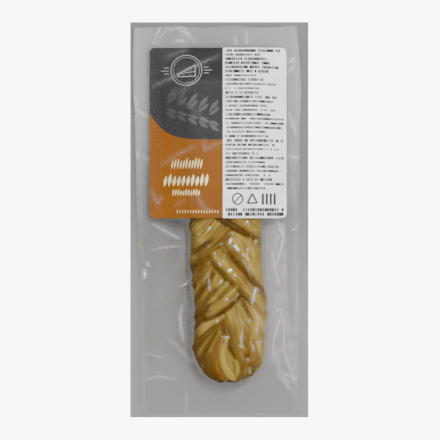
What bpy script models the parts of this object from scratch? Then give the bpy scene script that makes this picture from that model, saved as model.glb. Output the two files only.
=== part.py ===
"""Smoked plaited cheese in a clear vacuum bag, with its printed label under the front film.

The pack lies on its back: +Z is the front, +Y the label's end, and the bag's middle is at X = Y = 0.
Sizes are named in millimetres, and each mesh is made in metres.
"""

import math

import bmesh
import bpy
import numpy as np

MM = 0.001

# The bag: two films sealed round the cheese, drawn down to a flat back
FILM = 0.7
BAG_LENGTH = 280.0
BAG_LEFT = ((-140.0, -56.0), (-60.0, -57.1), (0.0, -58.4), (60.0, -59.6), (105.0, -61.6), (140.0, -60.4))
BAG_RIGHT = ((-140.0, 61.0), (-60.0, 61.4), (0.0, 59.7), (60.0, 60.1), (100.0, 61.2), (140.0, 58.0))
SEAL = 3.4
MARGIN_RISE = 8.0
EDGE_RISE = 2.4
EDGE_WAVE = 1.0
LONG_SIDE_STEPS = 18
SHORT_SIDE_STEPS = 10

# The gap that touching pieces keep
GAP = 0.3

# The plait: its length, height and half width, and the line down its middle
PLAIT_LENGTH = 231.0
PLAIT_THICK = 24.0
PLAIT_HALF_WIDTH = 26.6
PLAIT_TOP = 110.0
AXIS_TOP = 3.2
AXIS_BOTTOM = 8.8
END_LENGTH = 28.0

# Its three strands: how far their middle lines swing and rise, and how far a strand spreads along the plait
SWING = 20.6
RISE = 6.2
SPREAD = 38.0
TURN = 63.0
SHARPNESS = 0.93

# Distances from the plait's top at which a strand crosses the middle, outward to the right, left, right and on
CROSSINGS = (-32, -10, 10, 30, 51, 70, 91, 107, 131, 151, 175, 196, 224, 248, 270, 292)

# Each strand's ribbons: the share of the strand's breadth, half the thickness, and how far it stands proud
STRANDS = (
    ((0.20, 5.4, 0.0), (0.22, 6.2, 0.3), (0.18, 5.2, -0.8), (0.18, 5.8, 0.2), (0.22, 6.4, 0.3)),
    ((0.16, 5.4, -0.4), (0.16, 5.6, 0.0), (0.34, 6.8, 0.4), (0.12, 4.4, -1.4), (0.22, 6.6, 0.8)),
    ((0.18, 5.6, -0.3), (0.20, 5.8, 0.3), (0.36, 6.4, 0.2), (0.26, 6.0, -0.4)),
)
RIBBON_SIDES = 8
RIBBON_STEPS = 30

# Bars that fill the hollows between the strands: distance from the middle, half width and half height
CORES = ((-15.5, 7.0, 7.5), (0.0, 12.0, 5.5), (15.5, 7.0, 7.5))

# The label: a thin card bent over the plait, its sides down on the bag's margins
LABEL_LEFT, LABEL_RIGHT = -48.9, 50.2
LABEL_BOTTOM, LABEL_TOP = 0.9, 124.3
LABEL_CORNER = 3.6
LABEL_THICK = 0.5
LABEL_FOOT = 7.6
CROWN_FLAT = 20.0
CROWN_FOOT = 50.0
CROWN_END = (97.0, 133.0)
LABEL_STEPS = (16, 14)

COLOURS = {
    "smoked_cheese": ((0.46, 0.27, 0.075), 0.35),
    "clear_film": ((0.62, 0.63, 0.65), 0.15),
    "printed_label": ((0.40, 0.13, 0.03), 0.40),
}


def clear_scene():
    """Empty the file of objects, meshes and materials."""
    for thing in list(bpy.data.objects):
        bpy.data.objects.remove(thing, do_unlink=True)
    for store in (bpy.data.meshes, bpy.data.materials, bpy.data.curves):
        for block in list(store):
            store.remove(block)


def make_material(name):
    """One Principled material in the part's own colour."""
    colour, roughness = COLOURS[name]
    material = bpy.data.materials.new(name)
    material.use_nodes = True
    shader = material.node_tree.nodes["Principled BSDF"]
    shader.inputs["Base Color"].default_value = (*colour, 1.0)
    shader.inputs["Roughness"].default_value = roughness
    shader.inputs["Metallic"].default_value = 0.0
    material.diffuse_color = (*colour, 1.0)
    return material


def make_object(name, points, faces, material=None):
    """A mesh object from points in millimetres."""
    mesh = bpy.data.meshes.new(name)
    mesh.from_pydata([tuple(float(c) * MM for c in p) for p in points], [], faces)
    mesh.update()
    thing = bpy.data.objects.new(name, mesh)
    bpy.context.scene.collection.objects.link(thing)
    if material:
        mesh.materials.append(material)
    return thing


def ease(value):
    """A smooth step from 0 to 1."""
    t = np.clip(value, 0.0, 1.0)
    return t * t * (3.0 - 2.0 * t)


def axis_x(y):
    """X of the plait's middle line."""
    return AXIS_TOP + (AXIS_BOTTOM - AXIS_TOP) * (PLAIT_TOP - y) / PLAIT_LENGTH


def strand_phase(strand, along):
    """Angle of a strand's swing: a multiple of pi where it crosses the middle."""
    places = np.array(CROSSINGS[strand::3], float)
    angles = math.pi * (strand + np.arange(len(places)))
    places = np.concatenate(([places[0] - TURN], places, [places[-1] + TURN]))
    angles = np.concatenate(([angles[0] - math.pi], angles, [angles[-1] + math.pi]))
    offsets = np.linspace(-18.0, 18.0, 25)
    weights = np.exp(-(offsets / 8.0) ** 2 / 2.0)
    spread = np.interp(along[:, None] + offsets[None, :], places, angles)
    return spread @ weights / weights.sum()


def press_flat(height):
    """Press the plait's top and underside as the film does, to half its thickness at most."""
    half, soft = PLAIT_THICK / 2.0, 3.0
    size = np.abs(height)
    pressed = half - soft + soft * np.tanh((size - (half - soft)) / soft)
    return np.sign(height) * np.where(size > half - soft, pressed, size)


def ring_places(strand, lag, inset):
    """Places of a ribbon's rings along the plait, closer together at its turns and near its ends."""
    even = np.linspace(inset, PLAIT_LENGTH - inset, 240)
    from_end = np.minimum(even, PLAIT_LENGTH - even) - inset
    wanted = 1.0 + 1.6 * np.sin(strand_phase(strand, even - lag)) ** 6 + 1.5 * np.exp(-from_end / 6.0)
    counted = np.concatenate(([0.0], np.cumsum((wanted[1:] + wanted[:-1]) / 2.0)))
    return np.interp(np.linspace(0.0, counted[-1], RIBBON_STEPS + 1), counted, even)


def ribbon_rings(strand, middle, share, half_thick, lift):
    """Cross sections of one ribbon, from the plait's top end to its bottom end.

    The ribbon goes outward over the top, turns round the plait's edge and comes back below. It does so by
    itself, behind the ribbon beside it, so that the strand lies as a flat band folded at the edges.
    """
    inset = half_thick
    along = ring_places(strand, SPREAD * middle, inset)
    from_end = np.minimum(along, PLAIT_LENGTH - along) - inset
    full = np.sqrt(np.clip(1.0 - (1.0 - np.clip(from_end / (END_LENGTH - inset), 0.0, 1.0)) ** 2, 0.06, 1.0))

    lag = SPREAD * middle * (0.25 + 0.75 * full)
    angle = strand_phase(strand, along - lag)
    sine, cosine = np.sin(angle), np.cos(angle)
    swing = np.arcsin(SHARPNESS * sine) / math.asin(SHARPNESS)
    layer = np.sin(2.0 * (angle + math.pi * lag / TURN * cosine ** 2))
    height = RISE * layer / np.sqrt((layer ** 2 + 0.12) / 1.12)
    centre = np.stack((SWING * swing * full, along, height * (0.3 + 0.7 * full)), axis=1)

    tangent = np.gradient(centre, axis=0)
    tangent /= np.linalg.norm(tangent, axis=1)[:, None]
    roll = math.pi / 2.0 * (1.0 - np.sign(cosine) * np.abs(cosine) ** 0.6)
    normal = np.stack((np.sin(roll), np.zeros_like(roll), np.cos(roll)), axis=1)
    normal -= (normal * tangent).sum(axis=1)[:, None] * tangent
    normal /= np.linalg.norm(normal, axis=1)[:, None]
    across = np.cross(tangent, normal)
    centre = centre + normal * (lift * np.abs(np.cos(roll)) * np.sign(np.cos(roll)))[:, None]

    half_wide = SPREAD * share * 0.46 * (0.6 + 0.4 * full)
    half_deep = half_thick * (0.55 + 0.45 * full)
    tilt = math.radians(10.0) * cosine
    wide_way = across * np.cos(tilt)[:, None] + normal * np.sin(tilt)[:, None]
    deep_way = normal * np.cos(tilt)[:, None] - across * np.sin(tilt)[:, None]
    turn = 2.0 * math.pi * (np.arange(RIBBON_SIDES) + 0.5) / RIBBON_SIDES
    wide = np.sign(np.cos(turn)) * np.abs(np.cos(turn)) ** 0.85
    deep = np.sign(np.sin(turn)) * np.abs(np.sin(turn)) ** 0.85
    rings = (centre[:, None, :]
             + wide_way[:, None, :] * (half_wide[:, None] * wide)[:, :, None]
             + deep_way[:, None, :] * (half_deep[:, None] * deep)[:, :, None])
    y = PLAIT_TOP - rings[..., 1]
    z = press_flat(rings[..., 2]) + PLAIT_THICK / 2.0 + FILM + GAP
    return np.stack((axis_x(y) + rings[..., 0], y, z), axis=-1)


def tube(name, rings):
    """A closed tube through the rings, with a domed end at each side."""
    count, sides = rings.shape[:2]
    middle = rings.mean(axis=1)
    first = middle[0] + (middle[0] - middle[1]) * 0.35
    last = middle[-1] + (middle[-1] - middle[-2]) * 0.35
    points = list(rings.reshape(-1, 3)) + [first, last]
    faces = []
    for i in range(count - 1):
        for j in range(sides):
            k = (j + 1) % sides
            faces.append((i * sides + j, i * sides + k, (i + 1) * sides + k, (i + 1) * sides + j))
    start, end = count * sides, count * sides + 1
    for j in range(sides):
        k = (j + 1) % sides
        faces.append((start, k, j))
        faces.append((end, (count - 1) * sides + j, (count - 1) * sides + k))
    return make_object(name, points, faces)


def face_outward(thing):
    """Turn a closed mesh's faces outward."""
    mesh = thing.data
    volume = 0.0
    mesh.calc_loop_triangles()
    for triangle in mesh.loop_triangles:
        a, b, c = (mesh.vertices[i].co for i in triangle.vertices)
        volume += a.dot(b.cross(c))
    if volume < 0.0:
        mesh.flip_normals()


def apply_modifier(thing):
    """Replace an object's mesh by the result of its modifiers."""
    graph = bpy.context.evaluated_depsgraph_get()
    made = bpy.data.meshes.new_from_object(thing.evaluated_get(graph))
    thing.modifiers.clear()
    thing.data = made


def keep_outer_shell(thing):
    """Fill the hollows that fusing seals and drop its scraps: only the largest shell stays."""
    mesh = bmesh.new()
    mesh.from_mesh(thing.data)
    bmesh.ops.triangulate(mesh, faces=mesh.faces[:])
    waiting = set(mesh.faces)
    shells = []
    while waiting:
        reached = [waiting.pop()]
        shell = []
        while reached:
            face = reached.pop()
            shell.append(face)
            # An edge of four faces is where two shells touch
            for edge in face.edges:
                for other in edge.link_faces:
                    if len(edge.link_faces) == 2 and other in waiting:
                        waiting.remove(other)
                        reached.append(other)
        shells.append(shell)
    shells.sort(key=len)
    for shell in shells[:-1]:
        bmesh.ops.delete(mesh, geom=shell, context="FACES")
    mesh.to_mesh(thing.data)
    mesh.free()


def core_rings(offset, half_width, half_height):
    """Cross sections of an oval bar along the plait, short of its ends."""
    turn = 2.0 * math.pi * np.arange(RIBBON_SIDES) / RIBBON_SIDES
    rings = []
    for y in np.linspace(PLAIT_TOP - 14.0, PLAIT_TOP - PLAIT_LENGTH + 14.0, 9):
        x = axis_x(y) + offset + half_width * np.cos(turn)
        z = PLAIT_THICK / 2.0 + FILM + GAP + half_height * np.sin(turn)
        rings.append(np.stack((x, np.full_like(x, y), z), axis=1))
    return np.array(rings)


def build_plait():
    """The cheese: every strand's ribbons, fused into one solid."""
    ribbons = [tube("core", core_rings(*core)) for core in CORES]
    for core in ribbons:
        face_outward(core)
    for strand, ribbon_list in enumerate(STRANDS):
        edge = -0.5
        for share, half_thick, lift in ribbon_list:
            rings = ribbon_rings(strand, edge + share / 2.0, share, half_thick, lift)
            ribbon = tube(f"ribbon_{len(ribbons)}", rings)
            face_outward(ribbon)
            ribbons.append(ribbon)
            edge += share

    group = bpy.data.collections.new("ribbons")
    bpy.context.scene.collection.children.link(group)
    for ribbon in ribbons[1:]:
        group.objects.link(ribbon)
    plait = ribbons[0]
    plait.name = "cheese_braid"
    plait.data.name = "cheese_braid"
    fuse = plait.modifiers.new("fuse", "BOOLEAN")
    fuse.operation = "UNION"
    fuse.operand_type = "COLLECTION"
    fuse.collection = group
    fuse.solver = "EXACT"
    apply_modifier(plait)
    for ribbon in ribbons[1:]:
        bpy.data.objects.remove(ribbon, do_unlink=True)
    bpy.data.collections.remove(group)
    keep_outer_shell(plait)
    plait.data.materials.clear()
    plait.data.materials.append(make_material("smoked_cheese"))
    for face in plait.data.polygons:
        face.use_smooth = True
    return plait


def round_loop(half_width, half_length, end_length):
    """A long loop round the plait: straight sides and elliptic ends, counted from the bottom left corner."""
    centre_y = PLAIT_TOP - PLAIT_LENGTH / 2.0
    straight = half_length - end_length
    points = []
    for i in range(SHORT_SIDE_STEPS):
        angle = math.pi + math.pi * i / SHORT_SIDE_STEPS
        points.append((half_width * math.cos(angle), centre_y - straight + end_length * math.sin(angle)))
    for i in range(LONG_SIDE_STEPS):
        points.append((half_width, centre_y - straight + 2.0 * straight * i / LONG_SIDE_STEPS))
    for i in range(SHORT_SIDE_STEPS):
        angle = math.pi * i / SHORT_SIDE_STEPS
        points.append((half_width * math.cos(angle), centre_y + straight + end_length * math.sin(angle)))
    for i in range(LONG_SIDE_STEPS):
        points.append((-half_width, centre_y + straight - 2.0 * straight * i / LONG_SIDE_STEPS))
    loop = np.array(points)
    loop[:, 0] += axis_x(loop[:, 1])
    return loop


def bag_loop(inset):
    """The bag's outline, or a loop inside it, with the same points as round_loop."""
    half = BAG_LENGTH / 2.0 - inset
    left_y, left_x = np.array(BAG_LEFT).T
    right_y, right_x = np.array(BAG_RIGHT).T
    short = np.arange(SHORT_SIDE_STEPS) / SHORT_SIDE_STEPS
    long = np.arange(LONG_SIDE_STEPS) / LONG_SIDE_STEPS
    corners = np.interp((-half, half), left_y, left_x) + inset, np.interp((-half, half), right_y, right_x) - inset
    (left_low, left_high), (right_low, right_high) = corners
    rise = -half + 2.0 * half * long
    bottom = np.stack((left_low + (right_low - left_low) * short, np.full_like(short, -half)), axis=1)
    right = np.stack((np.interp(rise, right_y, right_x) - inset, rise), axis=1)
    top = np.stack((right_high + (left_high - right_high) * short, np.full_like(short, half)), axis=1)
    left = np.stack((np.interp(-rise, left_y, left_x) + inset, -rise), axis=1)
    return np.concatenate((bottom, right, top, left))


def edge_wave(loop):
    """The bag's margins lie in shallow waves, never below the table."""
    return EDGE_WAVE * np.sin(loop[:, 1] / 19.0) * np.cos(loop[:, 0] / 31.0)


def build_bag():
    """The bag's film as a thin tray: a flat back, walls up round the cheese, and flat sealed margins."""
    half_length = PLAIT_LENGTH / 2.0
    trough = (
        (19.0, half_length - 9.0, 20.0, 0.0),
        (24.2, half_length - 4.0, 24.0, 1.0),
        (27.6, half_length - 0.4, 27.0, 4.2),
        (PLAIT_HALF_WIDTH + 2.4, half_length + 2.4, 29.0, MARGIN_RISE),
    )
    layers = []
    for half_width, length, end_length, z in trough:
        loop = round_loop(half_width, length, end_length)
        layers.append(np.column_stack((loop, np.full(len(loop), z))))
    inner = layers[-1][:, :2]
    sealed = bag_loop(SEAL)
    for share in (0.3, 0.65):
        loop = inner + (sealed - inner) * share
        z = MARGIN_RISE + (EDGE_RISE - MARGIN_RISE) * ease(np.full(len(loop), share)) + share * edge_wave(loop)
        layers.append(np.column_stack((loop, z)))
    for inset, step in ((SEAL, 0.3), (SEAL - 0.6, 0.0), (0.0, 0.0)):
        loop = bag_loop(inset)
        layers.append(np.column_stack((loop, EDGE_RISE + step + edge_wave(loop))))

    count = len(layers[0])
    points = np.concatenate(layers)
    faces = [tuple(range(count))]
    for layer in range(len(layers) - 1):
        for j in range(count):
            k = (j + 1) % count
            faces.append((layer * count + j, (layer + 1) * count + j, (layer + 1) * count + k, layer * count + k))
    bag = make_object("vacuum_bag", points, faces, make_material("clear_film"))
    wall = bag.modifiers.new("film", "SOLIDIFY")
    wall.thickness = FILM * MM
    wall.offset = 1.0
    wall.use_even_offset = True
    return bag


def label_outline(across, up):
    """A point of the label, its corners drawn in to round ones, from shares of its width and height."""
    x = LABEL_LEFT + (LABEL_RIGHT - LABEL_LEFT) * across
    y = LABEL_BOTTOM + (LABEL_TOP - LABEL_BOTTOM) * up
    corner_x = min(max(x, LABEL_LEFT + LABEL_CORNER), LABEL_RIGHT - LABEL_CORNER)
    corner_y = min(max(y, LABEL_BOTTOM + LABEL_CORNER), LABEL_TOP - LABEL_CORNER)
    dx, dy = x - corner_x, y - corner_y
    if dx and dy:
        reach = max(abs(dx), abs(dy)) / math.hypot(dx, dy)
        dx, dy = dx * reach, dy * reach
    return corner_x + dx, corner_y + dy


def label_height(x, y):
    """Underside of the label: over the plait's crown, then down to the bag's margins."""
    crown = PLAIT_THICK + FILM + 2.0 * GAP
    side = 1.0 - ease((abs(x - axis_x(y)) - CROWN_FLAT) / (CROWN_FOOT - CROWN_FLAT))
    end = 1.0 - ease((y - CROWN_END[0]) / (CROWN_END[1] - CROWN_END[0]))
    return LABEL_FOOT + (crown - LABEL_FOOT) * side * end


def spaced(steps, corner):
    """Shares from 0 to 1 with extra ones inside each corner's radius."""
    inner = np.linspace(corner, 1.0 - corner, steps - 3)
    return np.concatenate(([0.0, corner * 0.35], inner, [1.0 - corner * 0.35, 1.0]))


def build_label():
    """The printed card, one thin bent plate."""
    across = spaced(LABEL_STEPS[0], LABEL_CORNER / (LABEL_RIGHT - LABEL_LEFT))
    up = spaced(LABEL_STEPS[1], LABEL_CORNER / (LABEL_TOP - LABEL_BOTTOM))
    points = []
    for v in up:
        for u in across:
            x, y = label_outline(u, v)
            points.append((x, y, label_height(x, y)))
    row = len(across)
    faces = []
    for i in range(len(up) - 1):
        for j in range(row - 1):
            a = i * row + j
            faces.append((a, a + 1, a + row + 1, a + row))
    label = make_object("label", points, faces, make_material("printed_label"))
    card = label.modifiers.new("card", "SOLIDIFY")
    card.thickness = LABEL_THICK * MM
    card.offset = 1.0
    return label


clear_scene()
build_plait()
build_bag()
build_label()
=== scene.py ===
"""Smoked plaited cheese in a clear vacuum bag with a printed card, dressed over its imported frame.

Sizes are named in millimetres, in the frame of the CAD model: the pack lies on its back, +Z is its front and
+Y the label's end. Meshes are made in metres.
"""

import logging
import math
from dataclasses import dataclass
from enum import Enum

import bmesh
import bpy
import numpy as np
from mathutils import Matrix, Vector
from mathutils.bvhtree import BVHTree
from mathutils.kdtree import KDTree


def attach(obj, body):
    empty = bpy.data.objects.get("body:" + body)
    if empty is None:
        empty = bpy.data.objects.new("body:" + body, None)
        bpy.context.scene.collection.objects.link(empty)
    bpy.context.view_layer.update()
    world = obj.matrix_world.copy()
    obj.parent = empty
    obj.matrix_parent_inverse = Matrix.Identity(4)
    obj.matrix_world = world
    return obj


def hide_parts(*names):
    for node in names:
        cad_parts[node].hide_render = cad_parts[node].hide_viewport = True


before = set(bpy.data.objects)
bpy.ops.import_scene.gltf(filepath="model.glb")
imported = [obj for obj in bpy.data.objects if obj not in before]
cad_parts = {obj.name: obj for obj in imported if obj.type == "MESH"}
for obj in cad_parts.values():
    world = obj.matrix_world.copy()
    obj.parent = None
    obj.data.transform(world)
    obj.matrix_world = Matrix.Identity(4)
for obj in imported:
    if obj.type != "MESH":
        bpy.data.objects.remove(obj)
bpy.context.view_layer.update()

MM = 0.001
LOG = logging.getLogger("cheese_pack")

# The photograph: its scale in millimetres a pixel, and the pixel that lies over the bag's middle
PHOTO_SCALE = 0.7235
PHOTO_MIDDLE = (217.1, 219.3)

# Where the camera and the key lamp stand, between which the film's glints mirror
CAMERA_PLACE = (2.1, -0.5, 1600.0)
KEY_LAMP_PLACE = (330.0, 420.0, 1100.0)


def photo_point(x: float, y: float) -> tuple[float, float]:
    """Turn a pixel of the photograph into millimetres on the pack.

    Args:
        x: Pixels from the photograph's left edge.
        y: Pixels from its top edge.

    Returns:
        X and Y in the frame's plane.
    """
    return (x - PHOTO_MIDDLE[0]) * PHOTO_SCALE, (PHOTO_MIDDLE[1] - y) * PHOTO_SCALE


def ease(value: np.ndarray | float) -> np.ndarray:
    """Smooth a step from 0 to 1.

    Args:
        value: How far along the step each place is.

    Returns:
        The smooth step: 0 before its start and 1 past its end.
    """
    t = np.clip(value, 0.0, 1.0)
    return t * t * (3.0 - 2.0 * t)


def unit(vectors: np.ndarray) -> np.ndarray:
    """Make vectors 1 long.

    Args:
        vectors: Their last axis holds X, Y and Z.

    Returns:
        The same directions, each 1 long.
    """
    return vectors / np.linalg.norm(vectors, axis=-1, keepdims=True)


def square_to(vectors: np.ndarray, line: np.ndarray) -> np.ndarray:
    """Turn vectors square to a line.

    Args:
        vectors: One vector for each place along the line.
        line: The line's direction there, 1 long.

    Returns:
        The turned vectors, each 1 long.
    """
    return unit(vectors - (vectors * line).sum(axis=1)[:, None] * line)


def new_mesh_object(name: str, points: np.ndarray, faces: list) -> bpy.types.Object:
    """Make a mesh object.

    Args:
        name: The piece's name.
        points: One row of X, Y and Z in millimetres for each point.
        faces: The points of each face, in order.

    Returns:
        The object, linked to the scene.
    """
    mesh = bpy.data.meshes.new(name)
    mesh.from_pydata((np.asarray(points, float) * MM).tolist(), [], faces)
    mesh.update()
    piece = bpy.data.objects.new(name, mesh)
    bpy.context.scene.collection.objects.link(piece)
    return piece


def apply_modifiers(piece: bpy.types.Object) -> None:
    """Replace a piece's mesh by the result of its modifiers, and remove them.

    Args:
        piece: The piece.
    """
    graph = bpy.context.evaluated_depsgraph_get()
    made = bpy.data.meshes.new_from_object(piece.evaluated_get(graph))
    piece.modifiers.clear()
    piece.data = made


def set_attribute(piece: bpy.types.Object, name: str, values: np.ndarray) -> None:
    """Store one number a point on a piece, for its material to read.

    Args:
        piece: The piece.
        name: The attribute's name.
        values: The number for each of its points.
    """
    attribute = piece.data.attributes.new(name, "FLOAT", "POINT")
    attribute.data.foreach_set("value", np.asarray(values, np.float32))


def shade_smooth(piece: bpy.types.Object) -> None:
    """Shade all of a piece's faces smooth.

    Args:
        piece: The piece.
    """
    piece.data.polygons.foreach_set("use_smooth", [True] * len(piece.data.polygons))


def plate(x: np.ndarray, y: np.ndarray, low: np.ndarray, high: np.ndarray) -> tuple[np.ndarray, list]:
    """Make a closed plate over a grid of places.

    Args:
        x: X of the places, by row.
        y: Y of the places.
        low: Z of its underside there.
        high: Z of its top there.

    Returns:
        Its points and its faces.
    """
    rows, columns = x.shape
    points = np.concatenate([np.stack((x.ravel(), y.ravel(), z.ravel()), axis=1) for z in (low, high)])
    bottom = np.arange(rows * columns).reshape(rows, columns)
    top = bottom + rows * columns
    faces = []
    for i in range(rows - 1):
        for j in range(columns - 1):
            a, b, c, d = (i, j), (i, j + 1), (i + 1, j + 1), (i + 1, j)
            faces.append(tuple(int(top[q]) for q in (a, b, c, d)))
            faces.append(tuple(int(bottom[q]) for q in (a, d, c, b)))
    rim = [(0, j) for j in range(columns)] + [(i, columns - 1) for i in range(1, rows)]
    rim += [(rows - 1, j) for j in range(columns - 2, -1, -1)] + [(i, 0) for i in range(rows - 2, 0, -1)]
    for a, b in zip(rim, rim[1:] + rim[:1]):
        faces.append((int(bottom[a]), int(bottom[b]), int(top[b]), int(top[a])))
    return points, faces


def face_outward(piece: bpy.types.Object) -> None:
    """Turn the faces of each closed shell of a piece outward.

    Args:
        piece: The piece.
    """
    mesh = bmesh.new()
    mesh.from_mesh(piece.data)
    bmesh.ops.recalc_face_normals(mesh, faces=mesh.faces[:])
    mesh.to_mesh(piece.data)
    mesh.free()


def finish_piece(piece: bpy.types.Object, slot: str, *nodes: str) -> None:
    """Let a piece ride on the pack and hide the nodes that it stands for.

    Args:
        piece: The finished piece.
        slot: The record's material slot that it has; not used.
        nodes: The CAD nodes that it replaces.
    """
    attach(piece, "root")
    if nodes:
        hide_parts(*nodes)
    LOG.info("%s: %d faces", piece.name, len(piece.data.polygons))


def add_node(tree: bpy.types.NodeTree, kind: str, inputs: dict, **settings: object) -> bpy.types.Node:
    """Add a node to a tree.

    Args:
        tree: The tree.
        kind: The node's type.
        inputs: A value, or another node's socket, for each input by name or number.
        settings: The node's own settings.

    Returns:
        The node.
    """
    node = tree.nodes.new(kind)
    for name, value in settings.items():
        setattr(node, name, value)
    for name, value in inputs.items():
        if isinstance(value, bpy.types.NodeSocket):
            tree.links.new(value, node.inputs[name])
        else:
            node.inputs[name].default_value = value
    return node


class NodeMaterial:
    """A node material that is built up call by call."""

    def __init__(self, name: str) -> None:
        """Start an empty material with an output.

        Args:
            name: The material's name.
        """
        self.material = bpy.data.materials.new(name)
        self.material.use_nodes = True
        self.tree = self.material.node_tree
        self.tree.nodes.clear()
        self.output = self.tree.nodes.new("ShaderNodeOutputMaterial")

    def add(self, kind: str, inputs: dict | None = None, **settings: object) -> bpy.types.Node:
        """Add a node.

        Args:
            kind: The node's type.
            inputs: A value, or another node's socket, for each input by name or number.
            settings: The node's own settings.

        Returns:
            The node.
        """
        return add_node(self.tree, kind, inputs or {}, **settings)

    def math(self, operation: str, first: object, second: object = 0.0, third: object = 0.0) -> object:
        """Work out a number.

        Args:
            operation: The Math node's operation.
            first: Its first number or socket.
            second: Its second.
            third: Its third.

        Returns:
            The result's socket.
        """
        return self.add("ShaderNodeMath", {0: first, 1: second, 2: third}, operation=operation).outputs[0]

    def mix(self, share: object, first: object, second: object) -> object:
        """Mix two colours.

        Args:
            share: How much of the second, from 0 to 1.
            first: The first colour.
            second: The second.

        Returns:
            The mixed colour's socket.
        """
        return self.add("ShaderNodeMix", {0: share, 6: first, 7: second}, data_type="RGBA").outputs[2]

    def scaled(self, colour: object, share: object) -> object:
        """Make a colour lighter or darker.

        Args:
            colour: The colour.
            share: What it is multiplied by.

        Returns:
            The new colour's socket.
        """
        return self.add("ShaderNodeVectorMath", {0: colour, 1: share}, operation="MULTIPLY").outputs[0]

    def ramp(self, share: object, stops: tuple) -> object:
        """Read a colour off a ramp.

        Args:
            share: Where on the ramp, from 0 to 1.
            stops: Pairs of a place and a colour of four numbers.

        Returns:
            The colour's socket.
        """
        node = self.add("ShaderNodeValToRGB", {"Fac": share})
        elements = node.color_ramp.elements
        while len(elements) < len(stops):
            elements.new(0.5)
        for element, (place, colour) in zip(elements, stops):
            element.position = place
            element.color = colour
        return node.outputs["Color"]

    def noise(self, vector: object, scale: float, detail: float = 2.0, roughness: float = 0.5) -> object:
        """Read a noise texture.

        Args:
            vector: Where it is read.
            scale: Its scale.
            detail: How many finer layers it has.
            roughness: How strong those are.

        Returns:
            The socket of its value, from 0 to 1.
        """
        inputs = {"Vector": vector, "Scale": scale, "Detail": detail, "Roughness": roughness}
        return self.add("ShaderNodeTexNoise", inputs).outputs["Fac"]

    def spread(self, value: object, low: float, high: float,
               new_low: float = 0.0, new_high: float = 1.0) -> object:
        """Map a value's range to a new one, held within it.

        Args:
            value: The value.
            low: Where its range starts.
            high: Where it ends.
            new_low: Where the new range starts.
            new_high: Where it ends.

        Returns:
            The new value's socket.
        """
        inputs = {0: value, 1: low, 2: high, 3: new_low, 4: new_high}
        return self.add("ShaderNodeMapRange", inputs).outputs[0]

    def bump(self, height: object, strength: float, distance: float) -> object:
        """Bump the surface.

        Args:
            height: How high it is at each place.
            strength: How much the bump counts.
            distance: How high a height of 1 is, in metres.

        Returns:
            The socket of the bumped normal.
        """
        inputs = {"Height": height, "Strength": strength, "Distance": distance}
        return self.add("ShaderNodeBump", inputs).outputs[0]

    def attribute(self, name: str) -> object:
        """Read a point attribute of the piece.

        Args:
            name: The attribute's name.

        Returns:
            Its socket.
        """
        return self.add("ShaderNodeAttribute", attribute_name=name).outputs["Fac"]

    def stretched(self, vector: object, stretch: tuple[float, float, float]) -> object:
        """Stretch the places at which a texture is read.

        Args:
            vector: The places.
            stretch: What X, Y and Z are multiplied by.

        Returns:
            The socket of the stretched places.
        """
        return self.add("ShaderNodeMapping", {"Vector": vector, "Scale": stretch}).outputs[0]

    def place(self, stretch: tuple[float, float, float] = (1.0, 1.0, 1.0)) -> object:
        """Read the object coordinates.

        Args:
            stretch: What X, Y and Z are multiplied by.

        Returns:
            Their socket.
        """
        return self.stretched(self.add("ShaderNodeTexCoord").outputs["Object"], stretch)

    def surface(self, shader: object) -> bpy.types.Material:
        """Close the material with its surface shader.

        Args:
            shader: The shader's socket.

        Returns:
            The material.
        """
        self.tree.links.new(shader, self.output.inputs["Surface"])
        return self.material


@dataclass(frozen=True)
class Section:
    """The rounded oblong cross section of a ribbon."""

    sides: int
    power: float = 0.85

    def turn(self) -> np.ndarray:
        """The angle of each point round the section."""
        return 2.0 * math.pi * np.arange(self.sides) / self.sides

    def wide(self) -> np.ndarray:
        """How far across the ribbon each point is, from -1 to 1."""
        return self._blunt(np.cos(self.turn()))

    def _blunt(self, share: np.ndarray) -> np.ndarray:
        """Draw a circle's shares out toward a square's.

        Args:
            share: The cosine or the sine of each angle.

        Returns:
            The same, further out.
        """
        return np.sign(share) * np.abs(share) ** self.power

    def sweep(self, centre: np.ndarray, across: np.ndarray, half_wide: np.ndarray, upward: np.ndarray,
              half_deep: np.ndarray, fibres: np.ndarray) -> np.ndarray:
        """Lay the section along a line.

        Args:
            centre: The line's places.
            across: The way across the ribbon at each.
            half_wide: Half its width at each.
            upward: The way that it faces at each.
            half_deep: Half its thickness at each.
            fibres: How far each point of each ring stands out, about 1.

        Returns:
            The points by ring and side.
        """
        wide = half_wide[:, None] * self.wide() * fibres
        deep = half_deep[:, None] * self._blunt(np.sin(self.turn())) * fibres
        sideways = across[:, None, :] * wide[:, :, None]
        return centre[:, None, :] + sideways + upward[:, None, :] * deep[:, :, None]


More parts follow.
